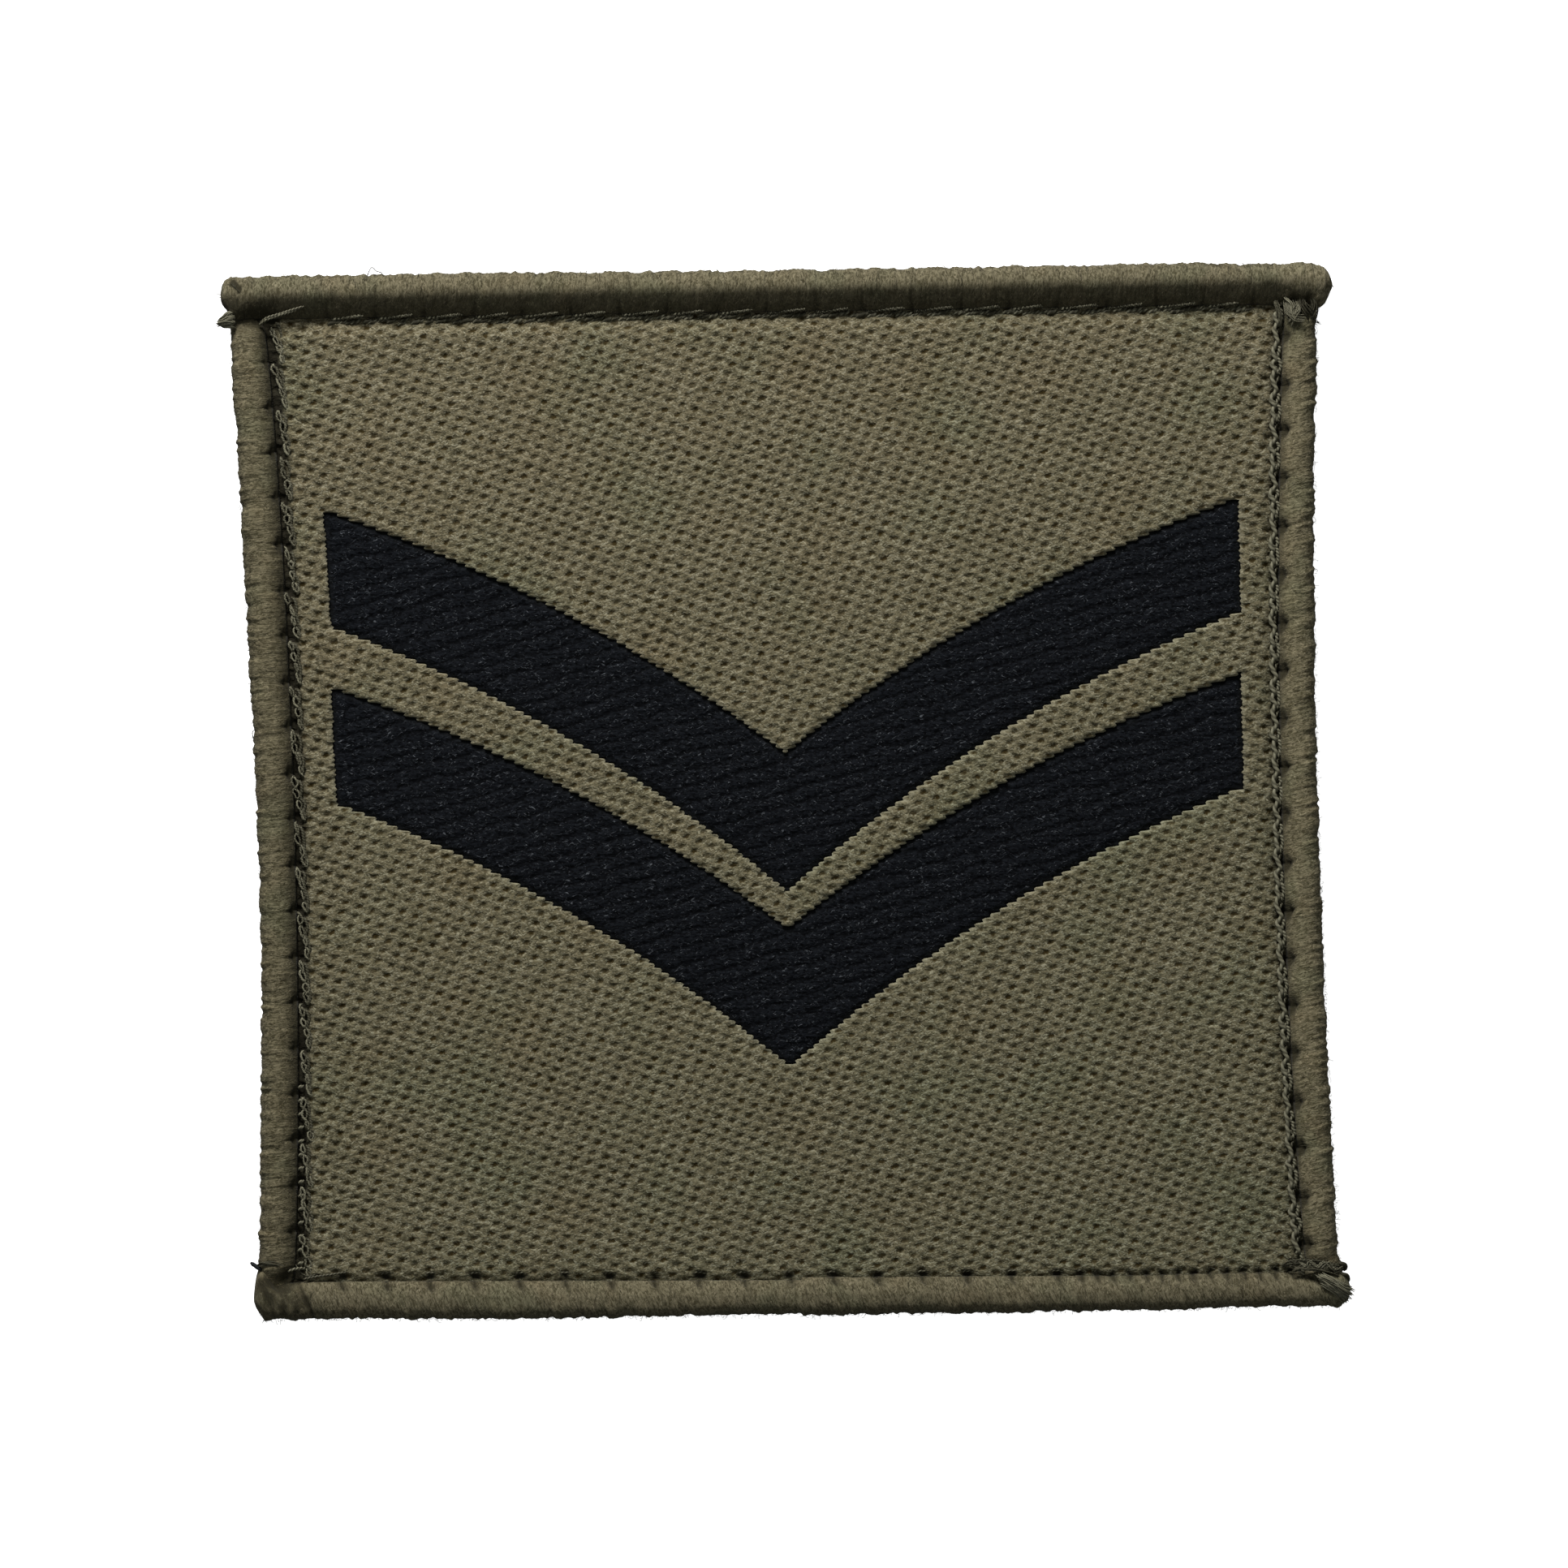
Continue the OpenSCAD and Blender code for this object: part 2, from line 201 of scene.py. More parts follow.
# Strands of the side seams from one needle hole to the next: distance below the hole, off towards
# the cloth, rise; the small ones also have a share of the thread's radius and a tone
RIGHT_MAIN_STRAND = (
    (-0.62, 0.24, 0.1), (-0.25, 0.16, 0.12), (0.25, -0.06, 0.12), (0.55, 0.12, 0.08),
    (0.9, 0.27, 0.1), (1.25, 0.12, 0.12), (1.45, 0.07, 0.05), (1.75, 0.22, 0.1), (2.15, 0.05, 0.1),
)
RIGHT_SMALL_STRANDS = (
    (((0.4, -0.02, -0.2), (0.6, -0.18, 0.04), (0.9, -0.22, 0.08), (1.15, -0.12, 0.05),
      (1.3, 0, -0.15)), 1.15, -0.1),
    (((1.15, 0, -0.15), (1.35, -0.18, 0.05), (1.7, -0.28, 0.09), (2.05, -0.26, 0.05),
      (2.35, -0.1, 0.02), (2.6, 0.06, -0.15)), 1.2, -0.1),
    (((0.95, 0.2, 0.02), (1.2, 0, 0.08), (1.45, -0.15, 0.03), (1.6, -0.2, -0.15)), 0.85, -0.35),
    (((1.85, 0.15, 0), (2.1, -0.05, 0.05), (2.35, -0.22, 0.02), (2.6, -0.3, -0.15)), 0.85, -0.4),
    (((-0.7, -0.2, -0.15), (-0.45, -0.06, 0.04), (-0.15, 0, 0.02), (0.1, 0.08, -0.15)), 0.8, -0.45),
)
LEFT_DULL_STRAND = (
    (0.5, 0.05, -0.2), (0.7, 0.28, 0), (1.2, 0.36, 0.04), (1.7, 0.3, 0), (2.1, 0.46, 0.04),
    (2.6, 0.5, 0.05), (3.1, 0.4, 0.05), (3.35, 0.25, -0.2),
)
# Dashes over the lower part of the left seam: below the dash's middle, off, height
LEFT_DASH = ((0.1, -0.42, 1.7), (0, -0.3, 2.0), (-0.06, -0.18, 2.04), (-0.1, -0.05, 1.75))

# A loop over a needle hole of the bottom seam: half length at its feet and at its shoulders, how
# far in its feet, shoulders and middle lie, share of the thread's radius, tone
DENSE_LOOP = (0.36, 0.22, 0.3, 0.46, 0.52, 0.8, -0.35)
WIDE_LOOP = (0.52, 0.36, 0.25, 0.44, 0.5, 0.75, -0.4)

# Tints that a colour is multiplied by: GREENISH and BROWNISH for patches in the thread, COOLER,
# DULLER and BRIGHTER as painted light and shade
GREENISH, BROWNISH = (0.85, 0.96, 0.92), (1.0, 0.91, 0.84)
COOLER, DULLER, BRIGHTER = (0.955, 1.0, 1.01), (0.92, 0.93, 0.95), (1.2, 1.2, 1.21)

# The studio: the side that the even light is strongest from, the key light's place, half the
# floor's width and how far it lies under the patch, all in metres, and the camera's sensor width
BRIGHT_SIDE = (-0.10, 0.50, 0.86)
KEY_PLACE = (-0.07, 0.30, 0.18)
FLOOR_HALF, FLOOR_DROP = 2.0, 0.00005
SENSOR = 36.0


def length(name, description, default):
    """A property for a length, given in millimetres and kept in metres."""
    return FloatProperty(
        name=name, description=description, default=default * MM, unit="LENGTH", precision=5
    )


def angle(name, description, default):
    """A property for an angle, given in degrees and kept in radians."""
    return FloatProperty(
        name=name, description=description, default=math.radians(default), subtype="ANGLE"
    )


def colour(name, description, default):
    """A property for a colour in linear values."""
    return FloatVectorProperty(
        name=name, description=description, default=default, subtype="COLOR", size=3, min=0, max=1
    )


class ClothSizes(bpy.types.PropertyGroup):
    """Outline and thickness of the cloth, and the chevrons' shape."""

    top_width: length("Top width", "Width across the side rolls at the top edge", 74.2)
    waist_width: length("Waist width", "Width across the side rolls halfway up", 71.8)
    bottom_width: length("Bottom width", "Width across the side rolls at the bottom edge", 73.6)
    height: length("Height", "From the bottom edge to the top edge", 70.9)
    lean: length("Lean", "How far the bottom edge sits to the right of the top edge", 0.86)
    face: length("Face height", "Height of the cloth's face above its back", 2.1)
    flange_top: length("Pressed edge top", "Height of the top of the pressed edge", 1.8)
    flange_floor: length("Pressed edge floor", "Height of the pressed edge's underside", 0.6)
    in_slot: length("Edge inset", "Distance of the cloth's cut edge from the outer edge", 1.0)
    slope: length("Slope width", "Width of the slope from the groove up to the face", 1.2)
    gap: length("Seam gap", "Gap between a roll and the cloth", 0.1)
    pocket: length("Pocket floor", "Height of the floor under a chevron", 1.0)
    chevron_face: length("Chevron face", "Height of the chevrons' face", 2.0)
    apex: length("Apex height", "Height of the upper chevron's inner apex on the patch", 2.6)
    pitch: length("Chevron pitch", "Distance from the upper chevron down to the lower one", 11.9)
    band: length("Band width", "Width of a chevron's band", 7.3)
    arm_radius: length("Arm radius", "Radius of an arm's upper edge", 111.0)
    arm_slope: angle("Arm slope", "Slope of the line from the apex to the arm's end", 28.5)
    half_span: length("Half span", "Distance from the middle to a chevron's end", 31.1)
    inlay_gap: length("Inlay gap", "Gap on each side of a chevron's edge", 0.035)


class WeaveSizes(bpy.types.PropertyGroup):
    """The weave's threads, its binding points and its relief."""

    warp_pitch: length("Warp pitch", "Distance from one warp thread to the next", 0.3012)
    pick_pitch: length("Pick pitch", "Distance from one weft thread to the next", 0.3334)
    weft_rise: angle("Weft rise", "Rise of the weft to the right", 0.29)
    warp_lean: angle("Warp lean", "Lean of the warp to the right, going up", 3.27)
    dip_depth: length("Dip depth", "Depth of the hollow where the warp binds the weft", 0.17)
    dip_long: length("Dip length", "Half length of a hollow", 0.27)
    dip_wide: length("Dip width", "Half width of a hollow", 0.155)
    dip_rise: angle("Dip rise", "Rise of a hollow's long axis to the right", 17.0)
    arch: length("Float arch", "Rise of a weft float between two bindings", 0.06)
    ridge: length("Pick ridge", "Rise of a pick above the valley beside it", 0.025)
    drift: length("Drift", "Unevenness of the threads' places", 0.05)
    tooth: length("Tooth", "How far a float's end reaches over a chevron's edge", 0.09)
    row_pitch: length("Row pitch", "Distance between the faint rows in the chevrons", 1.05)
    seed: IntProperty(name="Seed", description="Seed of the weave's unevenness", default=11)


class RollSizes(bpy.types.PropertyGroup):
    """The wound edge rolls."""

    left_width: length("Left width", "Width of the left roll", 2.65)
    right_width: length("Right width", "Width of the right roll", 2.45)
    top_width: length("Top width", "Width of the top roll", 3.0)
    bottom_width: length("Bottom width", "Width of the bottom roll", 2.4)
    side_height: length("Side height", "Height of the side rolls", 2.85)
    top_height: length("Top height", "Height of the top roll", 3.15)
    bottom_height: length("Bottom height", "Height of the bottom roll", 2.95)
    wall: length("Wall", "Thickness of the thread outside the cloth's cut edge", 0.9)
    slot_top: length("Slot top", "Height of the slot's roof", 1.9)
    slot_floor: length("Slot floor", "Height of the slot's floor", 0.5)
    top_left: length("Top left overrun", "How far the top roll runs past the left side", 0.4)
    top_right: length("Top right overrun", "How far the top roll runs past the right side", 0.95)
    bottom_left: length("Bottom left overrun", "How far the bottom roll runs past the left", 0.25)
    bottom_right: length("Bottom right overrun", "How far the bottom roll runs past the right", 0.6)
    end_round: length("End round", "Length of an end roll's tip, where its slot is closed", 1.0)
    wrap_pitch: length("Wrap pitch", "Distance from one wrap of thread to the next", 0.3)
    wrap_relief: length("Wrap relief", "Height of a wrap above the valley beside it", 0.06)
    station: length("Station", "Distance between the sections along a roll", 0.085)
    fuzz_length: length("Fuzz length", "Length of a fibre that stands off a roll", 0.6)
    fuzz_radius: length("Fuzz radius", "Radius of a fibre", 0.011)
    fuzz_count: IntProperty(name="Fuzz count", description="Fibres on each roll", default=900)
    tuck: length("Tuck", "How far a side roll runs on into an end roll", 1.1)
    seed: IntProperty(name="Seed", description="Seed of the rolls' unevenness", default=23)


class SeamSizes(bpy.types.PropertyGroup):
    """The chain seams, the lock seams and the loose threads."""

    radius: length("Thread radius", "Radius of the sewing thread", 0.1)
    twist: length("Twist", "Length of one turn of the sewing thread's plies", 0.85)
    left_stitch: length("Left stitch", "Distance between needle holes in the left seam", 3.1)
    right_stitch: length("Right stitch", "The same in the right seam", 3.24)
    top_stitch: length("Top stitch", "Distance between stitches in the top seam", 3.3)
    bottom_stitch: length("Bottom stitch", "Distance between holes in the bottom seam", 3.03)
    dense_stitch: length("Dense stitch", "The same where the bottom seam is sewn again", 1.1)
    seed: IntProperty(name="Seed", description="Seed of the seams' unevenness", default=37)


class PatchColours(bpy.types.PropertyGroup):
    """Colours of the threads, in linear values."""

    olive: colour("Olive", "Weft floats of the ground cloth", (0.172, 0.147, 0.088))
    olive_deep: colour("Olive deep", "Shade between the ground's floats", (0.060, 0.052, 0.028))
    # Painted highlight on the ground: fibres that catch the light, and the raised float ends along
    # the chevrons
    olive_light: colour("Olive light", "Fibres that stand out of the ground", (0.31, 0.285, 0.200))
    # The binding colour is partly the dark warp and partly painted shade in the hollows
    binding: colour("Binding", "Warp that shows in the ground's hollows", (0.034, 0.023, 0.005))
    # The groove colour is painted shade in the cloth's grooves beside the rolls and in the needle
    # holes
    groove: colour("Groove", "Grooves and needle holes in the ground", (0.015, 0.013, 0.007))
    black: colour("Black", "Weft of the chevrons", (0.0088, 0.0102, 0.0130))
    # Painted shade along the chevrons' edges
    black_rim: colour("Black rim", "The chevrons' edges", (0.008, 0.0085, 0.0085))
    # Painted glints on the chevrons' fibres
    glint: colour("Glint", "Bright fibres in the chevrons", (0.120, 0.130, 0.145))
    edge: colour("Edge", "Wound thread of the rolls", (0.160, 0.139, 0.085))
    edge_deep: colour("Edge deep", "Shade between the rolls' threads", (0.056, 0.048, 0.025))
    # Painted highlights on the rolls' hairs and fibres
    edge_light: colour("Edge light", "Hairs that stand off the rolls", (0.26, 0.225, 0.145))
    # The crease colour is painted shade: it darkens the rolls' shadow sides, valleys, creases,
    # stitch hollows and marks
    crease: colour("Crease", "Creases and marks in the rolls", (0.019, 0.0165, 0.0085))
    seam: colour("Seam", "Sewing thread", (0.200, 0.190, 0.132))
    seam_deep: colour("Seam deep", "Shade between the sewing thread's plies", (0.034, 0.031, 0.018))
    floor: colour("Floor", "The pale floor", (0.9, 0.9, 0.9))
    sky: colour("Even light", "The light from all round", (0.955, 1.0, 0.985))
    lamp: colour("Key light", "The main light", (1.0, 0.985, 0.965))


class StageSettings(bpy.types.PropertyGroup):
    """Camera and light."""

    camera_height: length("Camera height", "Height of the camera above the face", 500.0)
    view_width: length("View width", "Width of what the camera sees at the face", 106.26)
    centre_x: length("Centre X", "Middle of the view, to the right", -0.12)
    centre_y: length("Centre Y", "Middle of the view, upwards", 0.468)
    turn: angle("Turn", "How far the patch is turned in the view", 0.85)
    ambient: FloatProperty(name="Ambient", description="Strength of the even light", default=0.27)
    key_power: FloatProperty(name="Key power", description="Power of the main light", default=1.75)
    key_size: length("Key size", "Width of the main light", 130.0)
    glow: FloatProperty(name="Floor glow", description="The floor's own light", default=0.93)


def in_mm(group):
    """A property group's values by name, with its lengths in millimetres."""
    values = {}
    for name in group.__annotations__:
        value = getattr(group, name)
        kind = group.bl_rna.properties[name]
        if getattr(kind, "is_array", False):
            value = tuple(value)
        elif kind.type == "FLOAT" and kind.unit == "LENGTH":
            value = value / MM
        values[name] = value
    return SimpleNamespace(**values)


def sizes(context):
    """All settings in one place: cloth, weave, roll and seam."""
    scene = context.scene
    return SimpleNamespace(
        cloth=in_mm(scene.patch_cloth), weave=in_mm(scene.patch_weave),
        roll=in_mm(scene.patch_roll), seam=in_mm(scene.patch_seam),
    )


def smooth(low, high, value):
    """0 below low, 1 above high and a smooth step between them."""
    t = np.clip((value - low) / (high - low), 0, 1)
    return t * t * (3 - 2 * t)


def noise(x, y, seed):
    """Smooth noise from -1 to 1 with one random value at each whole number."""
    table = np.random.default_rng(seed).uniform(-1, 1, (TABLE, TABLE))
    x, y = np.broadcast_arrays(np.asarray(x, float), np.asarray(y, float))
    column, row = np.floor(x).astype(int), np.floor(y).astype(int)
    u, v = x - column, y - row
    u, v = u * u * (3 - 2 * u), v * v * (3 - 2 * v)
    c0, c1, r0, r1 = column % TABLE, (column + 1) % TABLE, row % TABLE, (row + 1) % TABLE
    low = table[r0, c0] * (1 - u) + table[r0, c1] * u
    high = table[r1, c0] * (1 - u) + table[r1, c1] * u
    return low * (1 - v) + high * v


def edge_x(side, y, cloth):
    """X of the patch's outer edge on one side at height y."""
    share_up = 2 * y / cloth.height
    taper = (cloth.top_width - cloth.bottom_width) / 4
    bow = (cloth.top_width + cloth.bottom_width - 2 * cloth.waist_width) / 4
    half = cloth.waist_width / 2 + taper * share_up + bow * share_up**2
    return side * half - cloth.lean * share_up / 2


def insets(x, y, cloth):
    """Distances in from the left, right, top and bottom outer edges."""
    return (
        x - edge_x(LEFT, y, cloth), edge_x(RIGHT, y, cloth) - x,
        cloth.height / 2 - y, y + cloth.height / 2,
    )


def bottom_taper(x):
    """How much wider than its set width the bottom roll is at places along it."""
    return np.interp(x, *BOTTOM_TAPER)


def roll_widths(roll, x=None):
    """Widths of the left, right, top and bottom roll, the last one at places x along it."""
    taper = 0 if x is None else bottom_taper(x)
    return roll.left_width, roll.right_width, roll.top_width, roll.bottom_width + taper


def seam_inset(side, y):
    """Distance of a side seam's middle in from the outer edge at height y."""
    table = LEFT_SEAM if side == LEFT else RIGHT_SEAM
    return np.interp(y, table[:, 0], table[:, 1])


def stitch_heights(side, seam):
    """Heights of the needle holes along a side seam."""
    step = seam.left_stitch if side == LEFT else seam.right_stitch
    return np.arange(FIRST_HOLES[side], SIDE_SEAM_END, -step)


def new_mesh(name, points, faces, vectors, flat_faces=()):
    """A mesh in metres from points in millimetres, with named point values."""
    mesh = bpy.data.meshes.new(name)
    mesh.from_pydata((np.asarray(points) * MM).tolist(), [], faces)
    for key, values in vectors.items():
        store = mesh.attributes.new(key, "FLOAT_VECTOR", "POINT")
        store.data.foreach_set("vector", np.ascontiguousarray(values, dtype=np.float32).ravel())
    rough = np.ones(len(mesh.polygons), bool)
    rough[list(flat_faces)] = False
    mesh.polygons.foreach_set("use_smooth", rough)
    mesh.update()
    return mesh


def add_object(name, data):
    """Puts a mesh, light or camera into the scene."""
    made = bpy.data.objects.new(name, data)
    bpy.context.scene.collection.objects.link(made)
    return made


def add_piece(name, mesh, material):
    """Puts a mesh into the scene as a piece that rides on the patch."""
    piece = add_object(name, mesh)
    mesh.materials.append(material)
    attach(piece, "root")
    return piece


class Pile:
    """Gathers the points, faces and point values of a piece that is made of many threads."""

    def __init__(self):
        """Starts empty."""
        self.points, self.faces, self.threads, self.count = [], [], [], 0

    def add(self, points, faces, thread):
        """Takes in blocks of points, of faces that count from 0 and of point values."""
        self.points.append(points)
        self.threads.append(thread)
        for block in faces:
            self.faces.extend((np.asarray(block) + self.count).tolist())
        self.count += len(points)

    def mesh(self, name):
        """All that was gathered as one mesh."""
        return new_mesh(
            name, np.concatenate(self.points), self.faces,
            {"thread": np.concatenate(self.threads)},
        )


def along(path):
    """Distance along each path, for paths given as threads x steps x 3."""
    step = np.linalg.norm(np.diff(path, axis=1), axis=2)
    return np.concatenate([np.zeros((len(path), 1)), np.cumsum(step, axis=1)], axis=1)


def tube_walls(steps, sides):
    """Four-sided faces of a tube whose points lie in rings of sides, one ring to a step."""
    first, corner = np.arange(steps - 1)[:, None] * sides, np.arange(sides)
    here, beside = first + corner, first + (corner + 1) % sides
    return np.stack([here, beside, beside + sides, here + sides], axis=-1).reshape(-1, 4)


def tubes(paths, radius, sides, ply=0.0, twist=1.0, tone=0.0):
    """Points, faces and thread values of round threads. ply is the depth of the valleys between two
    twisted plies as a share of the radius, and radius may differ from step to step."""
    threads, steps, _ = paths.shape
    tangent = np.gradient(paths, axis=1)
    tangent /= np.linalg.norm(tangent, axis=2, keepdims=True) + 1e-12
    across = np.cross(tangent, UP)
    thin = np.linalg.norm(across, axis=2, keepdims=True)
    across = np.where(thin > 0.05, across, np.array([1.0, 0.0, 0.0]))
    across /= np.linalg.norm(across, axis=2, keepdims=True)
    lift = np.cross(across, tangent)
    far = along(paths)
    turn = np.arange(sides) * 2 * math.pi / sides
    wave = np.cos(2 * turn[None, None, :] - 4 * math.pi * far[:, :, None] / twist)
    size = np.broadcast_to(radius, (threads, steps))[:, :, None] * (1 + ply * wave)
    ring = paths[:, :, None, :] + size[..., None] * (
        np.cos(turn)[None, None, :, None] * across[:, :, None, :]
        + np.sin(turn)[None, None, :, None] * lift[:, :, None, :]
    )
    first = np.arange(threads)[:, None] * steps * sides
    walls = (first[:, :, None] + tube_walls(steps, sides)[None]).reshape(-1, 4)
    start = first + np.arange(sides)[::-1]
    stop = first + (steps - 1) * sides + np.arange(sides)
    value = np.stack([
        np.broadcast_to(far[:, :, None], wave.shape),
        np.broadcast_to(turn[None, None, :], wave.shape),
        0.5 + min(0.5, 2.5 * ply) * wave + tone * np.ones(wave.shape),
    ], axis=-1)
    return ring.reshape(-1, 3), [walls, start, stop], value.reshape(-1, 3)


def curve_through(points, spacing):
    """A smooth path through points, with a step about every spacing."""
    points = np.asarray(points, float)
    padded = np.concatenate([2 * points[:1] - points[1:2], points, 2 * points[-1:] - points[-2:-1]])
    pieces = []
    for a, b, c, d in zip(padded, padded[1:], padded[2:], padded[3:]):
        count = max(2, int(np.linalg.norm(c - b) / spacing))
        t = (np.arange(count) / count)[:, None]
        pieces.append(0.5 * (
            2 * b + (c - a) * t + (2 * a - 5 * b + 4 * c - d) * t**2
            + (3 * b - a - 3 * c + d) * t**3
        ))
    return np.concatenate(pieces + [points[-1:]])


def add_strand(pile, points, seam, radius, tone=0.0, sides=8, twist=None, ply=0.2):
    """One twisted sewing thread through points, thinner at both ends."""
    path = curve_through(points, STRAND_STEP)[None]
    steps = np.arange(path.shape[1])
    taper = np.minimum(np.minimum(steps, steps[::-1]) / 2.0, 1)
    pile.add(*tubes(path, radius * (0.45 + 0.55 * taper), sides, ply, twist or seam.twist, tone))


def weave_axes(weave):
    """Step from warp to warp and from pick to pick, the second one going down, in millimetres."""
    warp = weave.warp_pitch * np.array([math.cos(weave.weft_rise), math.sin(weave.weft_rise)])
    pick = -weave.pick_pitch * np.array([math.sin(weave.warp_lean), math.cos(weave.warp_lean)])
    return warp, pick


def binding_axes(weave):
    """Two steps from one binding point to another, which together reach all of them."""
    warp, pick = weave_axes(weave)
    return 3 * warp + pick, -warp + 2 * pick


def weave_point(p, q, weave):
    """Where warp p meets pick q, threads drifting a little."""
    warp, pick = weave_axes(weave)
    x, y = p * warp[0] + q * pick[0], p * warp[1] + q * pick[1]
    return (
        x + weave.drift * noise(x / 2.3 + 90, y / 2.9 + 70, weave.seed),
        y + weave.drift * noise(x / 3.1 + 50, y / 2.2 + 30, weave.seed + 1),
    )


def binding(p, q):
    """Coordinates that are whole numbers at the binding points."""
    return (q + 2 * p) / SATIN, (SATIN_STEP * q - p) / SATIN


def band_depth(x, y, apex, cloth):
    """How deep a point lies inside a chevron, negative outside it."""
    rise = cloth.half_span * math.tan(cloth.arm_slope)
    chord = cloth.half_span / math.cos(cloth.arm_slope) / 2
    offset = math.sqrt(cloth.arm_radius**2 - chord**2)
    centre_x = cloth.half_span / 2 + offset * math.sin(cloth.arm_slope)
    centre_y = apex + rise / 2 - offset * math.cos(cloth.arm_slope)
    far = np.hypot(np.abs(x) - centre_x, y - centre_y)
    ends = UPPER_ENDS if apex == cloth.apex else LOWER_ENDS
    heights = (apex + rise - cloth.band * END_HEIGHT, apex + rise)
    left, right = (np.interp(y, heights, corners) for corners in ends)
    inside = np.minimum(cloth.arm_radius - far, far - cloth.arm_radius + cloth.band)
    return np.minimum(inside, np.minimum(x - left, right - x))


def chevron_spans(picks, reach, apex, size):
    """For each pick, the places along it where a chevron begins and ends, as warp counts."""
    fine = np.linspace(reach[0], reach[1], 9000)
    rng = np.random.default_rng(size.weave.seed + int(abs(apex) * 10))
    spans = {}
    for pick in picks:
        x, y = weave_point(fine, np.full(fine.shape, float(pick)), size.weave)
        inside = band_depth(x, y, apex, size.cloth) > 0
        change = np.flatnonzero(inside[1:] != inside[:-1])
        places = (fine[change] + fine[change + 1]) / 2
        places = places + rng.normal(0, 0.16, len(places))
        spans[pick] = [
            (a, b) for a, b in zip(places[::2], places[1::2]) if b - a > 1.0
        ]
    return spans


def weave_grid(size, per_warp, per_pick):
    """A grid on the weave's own threads that covers the patch, and its warp and pick counts."""
    warp, pick = weave_axes(size.weave)
    back = np.linalg.inv(np.array([warp, pick]).T)
    half_x, half_y = size.cloth.top_width / 2, size.cloth.height / 2
    corners = back @ np.array([
        (sx * half_x, sy * half_y) for sx in (-1, 1) for sy in (-1, 1)
    ]).T
    p_first, p_last = math.floor(corners[0].min()) - 1, math.ceil(corners[0].max()) + 1
    q_first, q_last = math.floor(corners[1].min()) - 1, math.ceil(corners[1].max()) + 1
    columns = (p_last - p_first) * per_warp + 1
    rows = (q_last - q_first) * per_pick + 1
    p = p_first + np.arange(columns) / per_warp
    q = q_first - 0.5 + np.arange(rows) / per_pick
    return SimpleNamespace(
        p=np.tile(p, (rows, 1)), q=np.tile(q[:, None], (1, columns)),
        rows=rows, columns=columns, first=(p_first, q_first), per_warp=per_warp,
        per_pick=per_pick, picks=range(q_first, q_last), reach=(p_first, p_last),
    )


def lay_spans(grid, spans):
    """The grid's cells that lie in a chevron. The grid's columns move to the spans' exact ends."""
    cells = np.zeros((grid.rows - 1, grid.columns - 1), bool)
    total, count = np.zeros(grid.p.shape), np.zeros(grid.p.shape, int)
    for pick, ends in spans.items():
        top = (pick - grid.first[1]) * grid.per_pick
        rows = slice(top, top + grid.per_pick)
        corner_rows = slice(top, top + grid.per_pick + 1)
        for a, b in ends:
            columns = [round((end - grid.first[0]) * grid.per_warp) for end in (a, b)]
            cells[rows, columns[0]:columns[1]] = True
            for column, end in zip(columns, (a, b)):
                total[corner_rows, column] += end
                count[corner_rows, column] += 1
    grid.p = np.where(count > 0, total / np.maximum(count, 1), grid.p)
    return cells


def grid_faces(cells, columns):
    """Four-sided faces of the grid's cells that are in use, seen from above."""
    row, column = np.nonzero(cells)
    a = row * columns + column
    return np.stack([a, a + columns, a + columns + 1, a + 1], axis=1)


def border(cells, others, columns):
    """Edges between the cells and the other cells, with the cells on the left of each edge."""
    c = np.pad(cells, 1)
    o = np.pad(others, 1)
    edges = []
    # Where the other cell lies, and the corners of this cell that the edge joins
    for (dr, dc), (r0, c0), (r1, c1) in (
        ((-1, 0), (0, 1), (0, 0)), ((0, -1), (0, 0), (1, 0)),
        ((1, 0), (1, 0), (1, 1)), ((0, 1), (1, 1), (0, 1)),
    ):
        touching = c & np.roll(o, (-dr, -dc), axis=(0, 1))
        row, column = np.nonzero(touching[1:-1, 1:-1])
        edges.append(np.stack([
            (row + r0) * columns + column + c0, (row + r1) * columns + column + c1,
        ], axis=1))
    return np.concatenate(edges)


def soften(ids, points, apex, cloth, share_moved=0.3):
    """Moves border points part of the way to the chevron's smooth edge."""
    x, y = points[ids, 0], points[ids, 1]
    depth, small = band_depth(x, y, apex, cloth), 0.02
    slope_x = (band_depth(x + small, y, apex, cloth) - depth) / small
    slope_y = (band_depth(x, y + small, apex, cloth) - depth) / small
    near = np.clip(depth, -0.3, 0.3) * share_moved
    points[ids, 0] -= near * slope_x
    points[ids, 1] -= near * slope_y


def outward(edges, points):
    """For the points on a border, their numbers and the direction away from the face."""
    ids, flat = np.unique(edges, return_inverse=True)
    flat = flat.reshape(edges.shape)
    step = points[edges[:, 1], :2] - points[edges[:, 0], :2]
    side = np.stack([step[:, 1], -step[:, 0]], axis=1)
    side /= np.linalg.norm(side, axis=1, keepdims=True)
    way = np.zeros((len(ids), 2))
    np.add.at(way, flat[:, 0], side)
    np.add.at(way, flat[:, 1], side)
    way /= np.linalg.norm(way, axis=1, keepdims=True) + 1e-9
    return ids, way


